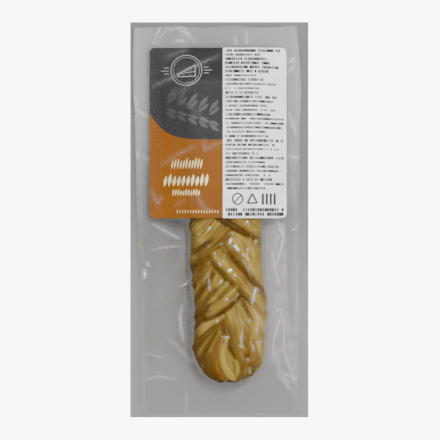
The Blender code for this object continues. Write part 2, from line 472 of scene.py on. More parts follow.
@dataclass(frozen=True)
class Plait:
    """The shape of the three-strand plait, from the same values as its CAD solid."""

    length: float = 231.0
    thick: float = 24.0
    top: float = 110.0
    axis_top: float = 3.2
    axis_bottom: float = 8.8
    end_length: float = 28.0
    swing: float = 20.6
    rise: float = 6.2
    spread: float = 38.0
    turn: float = 63.0
    sharpness: float = 0.93
    base: float = 1.0
    crossings: tuple = (-32, -10, 10, 30, 51, 70, 91, 107, 131, 151, 175, 196, 224, 248, 270, 292)
    strands: tuple = (
        ((0.20, 5.4, 0.0), (0.22, 6.2, 0.3), (0.18, 5.2, -0.8), (0.18, 5.8, 0.2), (0.22, 6.4, 0.3)),
        ((0.16, 5.4, -0.4), (0.16, 5.6, 0.0), (0.34, 6.8, 0.4), (0.12, 4.4, -1.4), (0.22, 6.6, 0.8)),
        ((0.18, 5.6, -0.3), (0.20, 5.8, 0.3), (0.36, 6.4, 0.2), (0.26, 6.0, -0.4)),
    )

    def axis_x(self, y: np.ndarray) -> np.ndarray:
        """Find the plait's middle line.

        Args:
            y: Places along the plait.

        Returns:
            X of the line there.
        """
        return self.axis_top + (self.axis_bottom - self.axis_top) * (self.top - y) / self.length

    def phase(self, strand: int, along: np.ndarray) -> np.ndarray:
        """Work out how far through its swings a strand is.

        Args:
            strand: The strand's number.
            along: Places along the plait, from its top.

        Returns:
            The swing's angle there: a multiple of pi where the strand crosses the middle.
        """
        places = np.array(self.crossings[strand::3], float)
        angles = math.pi * (strand + np.arange(len(places)))
        places = np.concatenate(([places[0] - self.turn], places, [places[-1] + self.turn]))
        angles = np.concatenate(([angles[0] - math.pi], angles, [angles[-1] + math.pi]))
        offsets = np.linspace(-18.0, 18.0, 25)
        weights = np.exp(-((offsets / 8.0) ** 2) / 2.0)
        spread = np.interp(along[:, None] + offsets[None, :], places, angles)
        return spread @ weights / weights.sum()

    def press_flat(self, height: np.ndarray) -> np.ndarray:
        """Press the plait's top and underside as the film does.

        Args:
            height: Heights from the plait's middle.

        Returns:
            The pressed heights.
        """
        half, soft = self.thick / 2.0, 3.0
        size = np.abs(height)
        pressed = half - soft + soft * np.tanh((size - (half - soft)) / soft)
        return np.sign(height) * np.where(size > half - soft, pressed, size)

    def ribbon(self, strand: int, middle: float, share: float, half_thick: float, lift: float,
               rings: int, section: Section, grooves: np.random.Generator) -> tuple[np.ndarray, np.ndarray]:
        """Work out one ribbon's cross sections.

        Args:
            strand: The strand's number.
            middle: The ribbon's middle in its strand, from -0.5 to 0.5.
            share: The ribbon's share of the strand's breadth.
            half_thick: Half its thickness.
            lift: How far it stands proud of its neighbours.
            rings: How many cross sections.
            section: Their shape.
            grooves: The seeded source of its small swells.

        Returns:
            The points by ring and side, and how far across the ribbon each is, from -1 to 1.
        """
        along = np.linspace(half_thick, self.length - half_thick, rings)
        from_end = np.minimum(along, self.length - along) - half_thick
        inside = np.clip(from_end / (self.end_length - half_thick), 0.0, 1.0)
        full = np.sqrt(np.clip(1.0 - (1.0 - inside) ** 2, 0.06, 1.0))
        lag = self.spread * middle * (0.25 + 0.75 * full)
        angle = self.phase(strand, along - lag)
        sine, cosine = np.sin(angle), np.cos(angle)
        swing = np.arcsin(self.sharpness * sine) / math.asin(self.sharpness)
        layer = np.sin(2.0 * (angle + math.pi * lag / self.turn * cosine**2))
        height = self.rise * layer / np.sqrt((layer**2 + 0.12) / 1.12)
        centre = np.stack((self.swing * swing * full, along, height * (0.3 + 0.7 * full)), axis=1)

        tangent = unit(np.gradient(centre, axis=0))
        roll = math.pi / 2.0 * (1.0 - np.sign(cosine) * np.abs(cosine) ** 0.6)
        normal = square_to(np.stack((np.sin(roll), np.zeros_like(roll), np.cos(roll)), axis=1), tangent)
        across = np.cross(tangent, normal)
        centre = centre + normal * (lift * np.abs(np.cos(roll)) * np.sign(np.cos(roll)))[:, None]

        start, wave = grooves.uniform(0.0, 6.3, 2)
        swell = 1.0 + 0.05 * np.sin(along / 9.0 + start) + 0.03 * np.sin(along / 4.1 + wave)
        half_wide = self.spread * share * 0.46 * (0.6 + 0.4 * full) * (2.0 - swell)
        half_deep = half_thick * (0.55 + 0.45 * full) * swell
        tilt = math.radians(10.0) * cosine
        wide_way = across * np.cos(tilt)[:, None] + normal * np.sin(tilt)[:, None]
        deep_way = normal * np.cos(tilt)[:, None] - across * np.sin(tilt)[:, None]
        waver = 0.9 * np.sin(along / 23.0 + wave)[:, None]
        fibres = 1.0 + 0.02 * np.cos(5.0 * section.turn()[None, :] + start + waver)
        points = section.sweep(centre, wide_way, half_wide, deep_way, half_deep, fibres)
        y = self.top - points[..., 1]
        z = self.press_flat(points[..., 2]) + self.thick / 2.0 + self.base
        placed = np.stack((self.axis_x(y) + points[..., 0], y, z), axis=-1)
        return placed, np.broadcast_to(section.wide(), fibres.shape)


@dataclass(frozen=True)
class CheeseFinish:
    """Smoked cheese: translucent straw where thick and pale, amber at edges and creases, partly painted
    shade.
    """

    cream: tuple = (0.36, 0.255, 0.048, 1.0)
    straw: tuple = (0.228, 0.149, 0.028, 1.0)
    amber: tuple = (0.134, 0.070, 0.005, 1.0)
    deep: tuple = (0.070, 0.030, 0.001, 1.0)
    rind: tuple = (0.190, 0.080, 0.002, 1.0)
    roughness: float = 0.42
    scatter: float = 0.12
    # the plait's middle, and how much paler its two sides are painted: painted light
    middle: float = 0.006
    painted_side_light: float = -0.32
    fibre_stretch: tuple = (0.03, 1.25, 17.0)
    crease_stretch: tuple = (0.022, 1.9, 29.0)

    def build(self) -> bpy.types.Material:
        """Build the node material."""
        shader = NodeMaterial("smoked_cheese")
        place = shader.place()
        across = shader.attribute("across")
        tone = shader.attribute("tone")
        along = shader.attribute("along")
        fibre_place = shader.add("ShaderNodeCombineXYZ", {"X": along, "Y": across, "Z": tone}).outputs[0]
        fibres = shader.noise(shader.stretched(fibre_place, self.fibre_stretch), 2.2, 4.0, 0.6)
        finer = shader.noise(shader.stretched(fibre_place, self.crease_stretch), 2.0, 1.0, 0.4)
        creases = shader.spread(finer, 0.56, 0.66)
        shade = self._shade(shader, place, across, tone, fibres, creases)
        stops = ((0.0, self.cream), (0.3, self.straw), (0.65, self.amber), (1.0, self.deep))
        colour = shader.mix(shader.attribute("rind"), shader.ramp(shade, stops), self.rind)
        relief = shader.math("MULTIPLY_ADD", creases, -0.5, fibres)
        body = shader.add("ShaderNodeBsdfPrincipled", {
            "Base Color": colour,
            "Roughness": self.roughness,
            "Subsurface Weight": self.scatter,
            "Subsurface Radius": (1.0, 0.55, 0.18),
            "Subsurface Scale": 0.003,
            "Specular IOR Level": 0.08,
            "Normal": shader.bump(relief, 0.6, 0.0012),
        })
        return shader.surface(body.outputs[0])

    def _shade(self, shader: NodeMaterial, place: object, across: object, tone: object, fibres: object,
               creases: object) -> object:
        """Work out how deep the amber is, with painted shade in creases and painted light at the plait's
        sides.
            place: Where each place is.
            across: How far across its ribbon.
            tone: The ribbon's own tone.
            fibres: The fibres' noise.
            creases: The thin creases between them.

        Returns:
            The socket of the shade, from 0 for cream to 1 for the deepest amber.
        """
        blotches = shader.noise(place, 90.0, 3.0, 0.55)
        # ribbon edges and thin crease lines turn deeper amber: partly the cheese's colour, partly painted
        # shade
        edge = shader.math("POWER", shader.math("ABSOLUTE", across), 6.0)
        shade = shader.math("MULTIPLY_ADD", edge, 0.5, shader.math("MULTIPLY", tone, 0.92))
        shade = shader.math("ADD", shade, shader.spread(fibres, 0.3, 0.7, -0.24, 0.26))
        shade = shader.math("MULTIPLY_ADD", creases, 0.34, shade)
        shade = shader.math("ADD", shade, shader.spread(blotches, 0.3, 0.7, -0.08, 0.08))
        # painted light: the plait's two sides are made paler, lifting the shade on their steep slopes
        x = shader.add("ShaderNodeSeparateXYZ", {"Vector": place}).outputs["X"]
        from_middle = shader.math("ABSOLUTE", shader.math("SUBTRACT", x, self.middle))
        return shader.math("ADD", shade, shader.spread(from_middle, 0.018, 0.027, 0.0, self.painted_side_light))


@dataclass(frozen=True)
class Fold:
    """One ribbon that shows in the photograph, laid on the plait's rounded top.

    Its line is in the photograph's pixels. Half its width is in pixels too. Dips are millimetres that its
    start and end sink under its neighbours, tone runs from pale to deep amber, and rind is its orange share.
    Reach is how many pixels it runs on out of sight, at its start and at its end.
    """

    line: tuple
    half_width: float
    tone: float = 0.3
    lift: float = 0.0
    dips: tuple = (3.0, 2.0)
    rind: float = 0.0
    reach: tuple = (5.0, 3.0)


@dataclass(frozen=True)
class Crown:
    """The rounded top of the plait, on which its ribbons lie."""

    half_width: float = 26.4
    middle: float = 12.6
    top: float = 24.2
    tip_start: float = 92.0
    tip_length: float = 26.6
    squareness: float = 2.6
    edge: float = 0.86
    bulge: float = 2.3
    bulge_y: float = -66.0
    bulge_length: float = 20.0

    def axis_x(self, plait: Plait, y: np.ndarray) -> np.ndarray:
        """Find the plait's middle line, with the bulge to its right near the lower end.

        Args:
            plait: The plait.
            y: Places along it.

        Returns:
            X of the line there.
        """
        return plait.axis_x(y) + self.bulge * np.exp(-(((y - self.bulge_y) / self.bulge_length) ** 2))

    def height(self, plait: Plait, x: np.ndarray, y: np.ndarray) -> np.ndarray:
        """Height of the plait's top.

        Args:
            plait: The plait, for its middle line.
            x: X of the places.
            y: Y of the places.

        Returns:
            Z of the places.
        """
        toward_tip = np.clip((-y - self.tip_start) / self.tip_length, 0.0, 1.0)
        out = np.clip(np.abs(x - self.axis_x(plait, y)) / self.breadth(y), 0.0, 1.0)
        rise = self.top - self.middle - 2.5 * toward_tip**2
        return self.middle + rise * (1.0 - out**self.squareness) ** 0.5

    def breadth(self, y: np.ndarray) -> np.ndarray:
        """Find how broad the plait is.

        Args:
            y: Places along it.

        Returns:
            Half its width there.
        """
        toward_tip = np.clip((-y - self.tip_start) / self.tip_length, 0.0, 0.97)
        return self.half_width * np.sqrt(1.0 - toward_tip**2)

    def keep_in(self, plait: Plait, x: np.ndarray, y: np.ndarray) -> tuple[np.ndarray, np.ndarray]:
        """Hold a ribbon's line within the plait's outline.

        Args:
            plait: The plait, for its middle line.
            x: X of the line.
            y: Y of the line.

        Returns:
            X of the line held in, and how many millimetres it turns down for it.
        """
        axis, breadth = self.axis_x(plait, y), self.breadth(y)
        out = (x - axis) / breadth
        over = np.maximum(np.abs(out) - self.edge, 0.0)
        held = np.sign(out) * np.minimum(np.abs(out), self.edge + 0.08 * np.tanh(over / 0.08))
        return axis + held * breadth, 26.0 * over

    def normal(self, plait: Plait, x: np.ndarray, y: np.ndarray) -> np.ndarray:
        """Find the way that the plait's top faces.

        Args:
            plait: The plait, for its middle line.
            x: X of the places.
            y: Y of the places.

        Returns:
            The direction at each place, 1 long.
        """
        step = 1.2
        slope_x = (self.height(plait, x + step, y) - self.height(plait, x - step, y)) / (2.0 * step)
        slope_y = (self.height(plait, x, y + step) - self.height(plait, x, y - step)) / (2.0 * step)
        return unit(np.stack((-slope_x, -slope_y, np.ones_like(slope_x)), axis=-1))


@dataclass
class CheeseBraid:
    """The plaited cheese: the plait's own ribbons, and over them those that show in the photograph."""

    plait: Plait
    crown: Crown
    folds: tuple
    finish: CheeseFinish
    rings: int = 150
    section: Section = Section(16)
    fold_rings: int = 56
    fold_section: Section = Section(20)
    depth_share: float = 0.58
    deepest: float = 3.2
    added_depth: float = 0.7
    widen: float = 1.12
    tip_width: float = 0.85
    closed_tip_width: float = 0.3
    taper_length: float = 0.2
    dip_length: float = 0.3
    card_edge: float = 6.0
    sunk_share: float = 0.34
    narrowed_share: float = 0.035
    voxel: float = 0.75
    soften: int = 1
    seed: int = 7

    def build(self) -> bpy.types.Object:
        """Build the ribbons as one piece, with what its material reads."""
        self.points, self.faces, self.notes = [], [], []
        chance = np.random.default_rng(self.seed)
        for strand, ribbons in enumerate(self.plait.strands):
            edge = -0.5
            for share, half_thick, lift in ribbons:
                placed, width = self.plait.ribbon(
                    strand, edge + share / 2.0, share, half_thick, lift, self.rings, self.section, chance)
                edge += share
                placed, shown = self._sink(placed)
                along = np.linspace(0.0, self.plait.length, self.rings)
                # where the plait's own ribbons lie sunk under the folds and show in the gaps, they are
                # deeper amber: painted shade
                tone = np.clip(chance.uniform(0.15, 0.45) + 0.6 * shown, 0.0, 1.0)
                self._add_tube(placed, width, along, tone, np.zeros_like(tone))
        for fold in self.folds:
            self._add_fold(fold, chance)
        piece = new_mesh_object("braid_ribbons", np.concatenate(self.points), self.faces)
        face_outward(piece)
        notes = self._join(piece, np.concatenate(self.notes))
        for column, name in enumerate(("across", "along", "tone", "rind")):
            set_attribute(piece, name, notes[:, column])
        piece.data.materials.append(self.finish.build())
        shade_smooth(piece)
        finish_piece(piece, "smoked_cheese", "cheese_braid")
        return piece

    def _join(self, piece: bpy.types.Object, notes: np.ndarray) -> np.ndarray:
        """Join the ribbons into one soft skin.

        Args:
            piece: The ribbons, which become the skin.
            notes: What the material reads at each of the ribbons' points.

        Returns:
            The same for each point of the skin, from the nearest ribbon.
        """
        tree = KDTree(len(piece.data.vertices))
        for vertex in piece.data.vertices:
            tree.insert(vertex.co, vertex.index)
        tree.balance()
        skin = piece.modifiers.new("skin", "REMESH")
        skin.mode = "VOXEL"
        skin.voxel_size = self.voxel * MM
        soft = piece.modifiers.new("soft", "SMOOTH")
        soft.factor = 0.5
        soft.iterations = self.soften
        apply_modifiers(piece)
        found = [tree.find_n(vertex.co, 4) for vertex in piece.data.vertices]
        nearest = np.array([[near[1] for near in nears] for nears in found])
        weights = 1.0 / (np.array([[near[2] for near in nears] for nears in found]) + 0.05 * MM)
        return (notes[nearest] * weights[..., None]).sum(axis=1) / weights.sum(axis=1)[:, None]

    def _sink(self, placed: np.ndarray) -> tuple[np.ndarray, np.ndarray]:
        """Sink the plait's own ribbons under the folds, where those lie over them.

        Args:
            placed: A ribbon's points.

        Returns:
            The sunk points, and how far each is one that the folds lie over.
        """
        middle = self.crown.middle
        shown = ease((self.card_edge - placed[..., 1]) / 8.0)
        above = np.maximum(placed[..., 2] - middle, 0.0)
        sunk = placed.copy()
        sunk[..., 2] -= above * self.sunk_share * shown
        axis = self.plait.axis_x(placed[..., 1])
        narrowed = (placed[..., 0] - axis) * (1.0 - self.narrowed_share * shown * (above > 0.0))
        sunk[..., 0] = self.crown.axis_x(self.plait, placed[..., 1]) + narrowed
        return sunk, shown * (above > 0.0)

    def _line(self, fold: Fold) -> tuple[np.ndarray, np.ndarray]:
        """Draw a smooth line through a fold's places, with its reach at both ends.

        Args:
            fold: The fold.

        Returns:
            X and Y along the line.
        """
        pixels = np.array(fold.line, float)
        knots = np.concatenate(([0.0], np.cumsum(np.linalg.norm(np.diff(pixels, axis=0), axis=1))))
        knots /= knots[-1]
        size = np.linalg.norm(pixels[-1] - pixels[0])
        share = np.linspace(-fold.reach[0] / size, 1.0 + fold.reach[1] / size, self.fold_rings)
        degree = min(len(pixels) - 1, 3)
        px = np.polyval(np.polyfit(knots, pixels[:, 0], degree), share)
        py = np.polyval(np.polyfit(knots, pixels[:, 1], degree), share)
        return photo_point(px, py)

    def _taper(self, fold: Fold, share: np.ndarray) -> np.ndarray:
        """Narrow a fold toward its ends.

        Args:
            fold: The fold.
            share: How far along it each ring is, from 0 to 1.

        Returns:
            The share of its full width there.
        """
        kept = []
        for reach, from_end in zip(fold.reach, (share, 1.0 - share)):
            tip = self.tip_width if reach > 0.0 else self.closed_tip_width
            kept.append(tip + (1.0 - tip) * np.sqrt(np.clip(from_end / self.taper_length, 0.0, 1.0)))
        return np.minimum(*kept)

    def _add_fold(self, fold: Fold, chance: np.random.Generator) -> None:
        """Add one ribbon that shows in the photograph.

        Args:
            fold: The ribbon.
            chance: The seeded source of its small swells.
        """
        x, y = self._line(fold)
        x, turned = self.crown.keep_in(self.plait, x, y)
        share = np.linspace(0.0, 1.0, self.fold_rings)
        start, wave = chance.uniform(0.0, 6.3, 2)
        swell = 1.0 + 0.04 * np.sin(share * 9.0 + start)
        half_wide = fold.half_width * self.widen * PHOTO_SCALE * self._taper(fold, share) * swell
        half_deep = np.minimum(half_wide * self.depth_share, self.deepest) + self.added_depth
        dip = fold.dips[0] * (1.0 - ease(share / self.dip_length))
        dip = dip + fold.dips[1] * (1.0 - ease((1.0 - share) / self.dip_length)) + turned
        facing = self.crown.normal(self.plait, x, y)
        top = self.crown.height(self.plait, x, y) + fold.lift - dip
        centre = np.stack((x, y, top), axis=1) - facing * half_deep[:, None]
        tangent = unit(np.gradient(centre, axis=0))
        facing = square_to(facing, tangent)
        waver = 0.8 * np.sin(6.0 * share + wave)[:, None]
        fibres = 1.0 + 0.03 * np.cos(7.0 * self.fold_section.turn()[None, :] + start + waver)
        sideways = np.cross(tangent, facing)
        placed = self.fold_section.sweep(centre, sideways, half_wide, facing, half_deep, fibres)
        width = np.broadcast_to(self.fold_section.wide(), fibres.shape)
        along = share * np.linalg.norm(np.diff(centre, axis=0), axis=1).sum() + 60.0 * start
        tone, rind = (np.full(fibres.shape, value) for value in (fold.tone, fold.rind))
        self._add_tube(placed, width, along, tone, rind)

    def _add_tube(self, placed: np.ndarray, width: np.ndarray, along: np.ndarray, tone: np.ndarray,
                  rind: np.ndarray) -> None:
        """Add one closed tube with a pointed end at each side.

        Args:
            placed: The tube's points by ring and side.
            width: How far across its ribbon each point is, from -1 to 1.
            along: How far along its ribbon each ring is.
            tone: How deep the amber is at each point.
            rind: How orange it is.
        """
        count, sides = placed.shape[:2]
        first = sum(len(p) for p in self.points)
        middle = placed.mean(axis=1)
        ends = np.array((middle[0] * 2.0 - middle[1], middle[-1] * 2.0 - middle[-2]))
        self.points.append(np.concatenate((placed.reshape(-1, 3), ends)))
        notes = np.stack((width, np.broadcast_to(along[:, None], width.shape), tone, rind), axis=-1)
        poles = np.array([(0.0, along[end], tone[end, 0], rind[end, 0]) for end in (0, -1)])
        self.notes.append(np.concatenate((notes.reshape(-1, 4), poles)))
        for i in range(count - 1):
            for j in range(sides):
                k = (j + 1) % sides
                a, b = first + i * sides, first + (i + 1) * sides
                self.faces.append((a + j, a + k, b + k, b + j))
        start, end, last = first + count * sides, first + count * sides + 1, first + (count - 1) * sides
        for j in range(sides):
            k = (j + 1) % sides
            self.faces.append((start, first + k, first + j))
            self.faces.append((end, last + j, last + k))


@dataclass(frozen=True)
class LabelShape:
    """The card's outline and how it bends over the plait."""

    left: float = -48.9
    right: float = 50.2
    bottom: float = 0.9
    top: float = 124.3
    corner: float = 3.6
    thick: float = 0.5
    foot: float = 7.6
    crown: float = 25.3
    crown_flat: float = 20.0
    crown_foot: float = 50.0
    crown_end: tuple = (97.0, 133.0)

    def underside(self, x: np.ndarray, y: np.ndarray, plait: Plait) -> np.ndarray:
        """Height of the card's underside.

        Args:
            x: X of the places.
            y: Y of the places.
            plait: The plait that the card lies over.

        Returns:
            Z of the places.
        """
        past_crown = np.abs(x - plait.axis_x(y)) - self.crown_flat
        side = 1.0 - ease(past_crown / (self.crown_foot - self.crown_flat))
        end = 1.0 - ease((y - self.crown_end[0]) / (self.crown_end[1] - self.crown_end[0]))
        return self.foot + (self.crown - self.foot) * side * end


@dataclass(frozen=True)
class CardFinish:
    """The printed card: a dark field over an orange one, and a white panel beside them."""

    dark: tuple = (0.026, 0.026, 0.027, 1.0)
    orange: tuple = (0.210, 0.068, 0.001, 1.0)
    white: tuple = (0.97, 0.97, 0.97, 1.0)
    split_x: float = 4.15
    curve_low: float = 57.2
    curve_rise: float = 19.7
    curve_power: float = 4.6
    # where the orange is painted paler on the card's left bend, and how much: painted light
    bend_starts: tuple = (-44.0, -34.0)
    bend_ends: tuple = (-27.0, -17.0)
    painted_bend_light: float = 0.46
    roughness: float = 0.38

    def build(self, shape: LabelShape) -> bpy.types.Material:
        """Build the node material.

        Args:
            shape: The card, for where the curve between its fields starts.

        Returns:
            The material.
        """
        shader = NodeMaterial("printed_card")
        place = shader.place((1.0 / MM, 1.0 / MM, 1.0 / MM))
        parts = shader.add("ShaderNodeSeparateXYZ", {0: place})
        x, y = parts.outputs["X"], parts.outputs["Y"]
        reach = self.split_x - shape.left
        from_split = shader.math("DIVIDE", shader.math("SUBTRACT", self.split_x, x), reach)
        bend = shader.math("POWER", shader.math("MAXIMUM", from_split, 0.0), self.curve_power)
        edge = shader.math("MULTIPLY_ADD", bend, self.curve_rise, self.curve_low)
        is_dark = shader.math("GREATER_THAN", y, edge)
        is_white = shader.math("GREATER_THAN", x, self.split_x)
        mottle_and_painted_light = shader.spread(shader.noise(place, 0.06, 3.0), 0.35, 0.65, 0.94, 1.06)
        field = shader.mix(is_dark, self.orange, self.dark)
        field = shader.mix(is_white, field, self.white)
        # painted light: the orange is made paler on the left bend, which slopes away from the lamps
        into_bend = shader.spread(x, *self.bend_starts)
        bent = shader.math("MULTIPLY", into_bend, shader.spread(x, *self.bend_ends, 1.0, 0.0))
        mottle_and_painted_light = shader.math("MULTIPLY", mottle_and_painted_light, shader.math("MULTIPLY_ADD", bent, self.painted_bend_light, 1.0))
        body = shader.add("ShaderNodeBsdfPrincipled", {
            "Base Color": shader.scaled(field, mottle_and_painted_light),
            "Roughness": self.roughness,
            "Specular IOR Level": 0.2,
        })
        return shader.surface(body.outputs[0])


@dataclass
class LabelCard:
    """The card itself."""

    shape: LabelShape
    plait: Plait
    finish: CardFinish
    step: float = 1.0

    def build(self) -> bpy.types.Object:
        """Build the bent card with its round corners."""
        shape = self.shape
        across = self._spaced(shape.left, shape.right)
        up = self._spaced(shape.bottom, shape.top)
        x, y = np.meshgrid(across, up)
        x, y = self._round_corners(x, y)
        z = shape.underside(x, y, self.plait)
        points, faces = plate(x, y, z, z + shape.thick)
        piece = new_mesh_object("label_card", points, faces)
        piece.data.materials.append(self.finish.build(shape))
        finish_piece(piece, "printed_label", "label")
        return piece

    def _spaced(self, low: float, high: float) -> np.ndarray:
        """Space out the grid along one side, closer within the corners.

        Args:
            low: Where the side starts.
            high: Where it ends.

        Returns:
            The places along it.
        """
        corner = self.shape.corner
        count = int((high - low - 2.0 * corner) / self.step)
        bend = corner * (1.0 - np.cos(np.linspace(0.0, math.pi / 2.0, 6)))[:-1]
        straight = np.linspace(low + corner, high - corner, count)
        return np.concatenate((low + bend, straight, high - bend[::-1]))

    def _round_corners(self, x: np.ndarray, y: np.ndarray) -> tuple[np.ndarray, np.ndarray]:
        """Draw the grid's square corners in to round ones.

        Args:
            x: X of the grid's places.
            y: Y of the places.

        Returns:
            X and Y of the rounded grid.
        """
        shape = self.shape
        corner_x = np.clip(x, shape.left + shape.corner, shape.right - shape.corner)
        corner_y = np.clip(y, shape.bottom + shape.corner, shape.top - shape.corner)
        dx, dy = x - corner_x, y - corner_y
        size = np.hypot(dx, dy)
        square = np.maximum(np.abs(dx), np.abs(dy))
        reach = np.where(size > 0.0, square / np.where(size > 0.0, size, 1.0), 1.0)
        return corner_x + dx * reach, corner_y + dy * reach


class Ink(Enum):
    """The inks of the card's printed shapes."""

    CREAM = (0.95, 0.80, 0.42, 1.0)
    SILVER = (0.36, 0.36, 0.36, 1.0)
    GREY = (0.046, 0.046, 0.048, 1.0)
    PALE_GREY = (0.072, 0.072, 0.075, 1.0)
    BLACK = (0.012, 0.012, 0.013, 1.0)

    def build(self) -> bpy.types.Material:
        """Build this ink's material, slightly uneven as print is."""
        shader = NodeMaterial(f"ink_{self.name.lower()}")
        grain = shader.spread(shader.noise(shader.place(), 700.0, 2.0), 0.3, 0.7, 0.9, 1.1)
        colour = shader.scaled(self.value[:3], grain)
        body = shader.add("ShaderNodeBsdfPrincipled", {"Base Color": colour, "Roughness": 0.45})
        return shader.surface(body.outputs[0])


@dataclass
class LabelPrint:
    """Simple printed shapes in one ink, as thin plates that follow the card."""

    name: str
    ink: Ink
    shape: LabelShape
    plait: Plait
    lift: float = 0.025
    thick: float = 0.03
    step: float = 1.0

    def __post_init__(self) -> None:
        """Start without shapes."""
        self.points, self.faces = [], []

    def stroke(self, line: tuple, width: float, end_width: float | None = None,
               middle: float = 0.0) -> None:
        """Add a stroke.

        Args:
            line: Its places in the photograph's pixels.
            width: Its width there, in pixels.
            end_width: Its width at its end, where that differs.
            middle: How much wider it is in its middle.
        """
        path = np.array([photo_point(*p) for p in line])
        lengths = np.linalg.norm(np.diff(path, axis=0), axis=1)
        knots = np.concatenate(([0.0], np.cumsum(lengths)))
        count = max(2, int(knots[-1] / self.step) + 1)
        places = np.linspace(0.0, knots[-1], count)
        if len(path) > 2:
            places = np.unique(np.concatenate((places, knots)))
        centre = np.stack([np.interp(places, knots, path[:, axis]) for axis in (0, 1)], axis=1)
        way = np.gradient(centre, axis=0)
        way /= np.linalg.norm(way, axis=1)[:, None]
        sideways = np.stack((-way[:, 1], way[:, 0]), axis=1)
        share = places / knots[-1]
        wide = (width + ((end_width if end_width is not None else width) - width) * share) * PHOTO_SCALE
        wide = wide + middle * PHOTO_SCALE * np.sin(math.pi * share)
        across = np.linspace(-0.5, 0.5, max(2, int(wide.max() / self.step) + 2))
        flat = centre[:, None, :] + sideways[:, None, :] * (wide[:, None] * across)[:, :, None]
        self._add_plate(flat)

    def dot(self, x: float, y: float, radius: float) -> None:
        """Add a round dot.

        Args:
            x: X of its middle, in pixels.
            y: Y of its middle.
            radius: Its radius.
        """
        self.stroke(((x - radius, y), (x + radius, y)), 0.3, 0.3, 2.0 * radius - 0.3)

    def ring(self, x: float, y: float, across: float, up: float, width: float, sides: int = 28) -> None:
        """Add a ring, or an outline with few sides.

        Args:
            x: X of its middle, in pixels.
            y: Y of its middle.
            across: Half its width.
            up: Half its height.
            width: The width of its line.
            sides: How many sides it has.
        """
        turn = [2.0 * math.pi * k / sides + math.pi / 2.0 for k in range(sides)]
        corners = [(x + across * math.cos(t), y - up * math.sin(t)) for t in turn]
        self.outline(corners, width)

    def outline(self, corners: list, width: float) -> None:
        """Add a closed outline.

        Args:
            corners: Its corners, in pixels.
            width: The width of its line.
        """
        for start, end in zip(corners, corners[1:] + corners[:1]):
            self.stroke((start, end), width)

    def words(self, left: float, right: float, y: float, height: float, pitch: float, weight: float,
              seed: int) -> None:
        """Add a row of slanting leaves of changing height, in place of words.

        Args:
            left: Where it starts, in pixels.
            right: Where it ends.
            y: Its middle.
            height: Its height.
            pitch: From one leaf to the next.
            weight: Width of a leaf.
            seed: For the leaves' heights.
        """
        chance = np.random.default_rng(seed)
        for x in np.arange(left + pitch / 2.0, right, pitch):
            half = height / 2.0 * chance.uniform(0.74, 1.0)
            low, slant = y + height / 2.0, 0.16 * height
            self.stroke(((x - slant / 2.0, low), (x + slant / 2.0, low - 2.0 * half)), 0.4, 0.4, weight)

    def build(self) -> bpy.types.Object:
        """Build the shapes as one piece."""
        piece = new_mesh_object(self.name, np.concatenate(self.points), self.faces)
        face_outward(piece)
        piece.data.materials.append(self.ink.build())
        finish_piece(piece, "printed_label")
        return piece

    def _add_plate(self, flat: np.ndarray) -> None:
        """Add one closed thin plate.

        Args:
            flat: X and Y of a grid of places on the card.
        """
        x, y = flat[..., 0], flat[..., 1]
        low = self.shape.underside(x, y, self.plait) + self.shape.thick + self.lift
        points, faces = plate(x, y, low, low + self.thick)
        first = sum(len(p) for p in self.points)
        self.points.append(points)
        self.faces += [tuple(first + v for v in face) for face in faces]


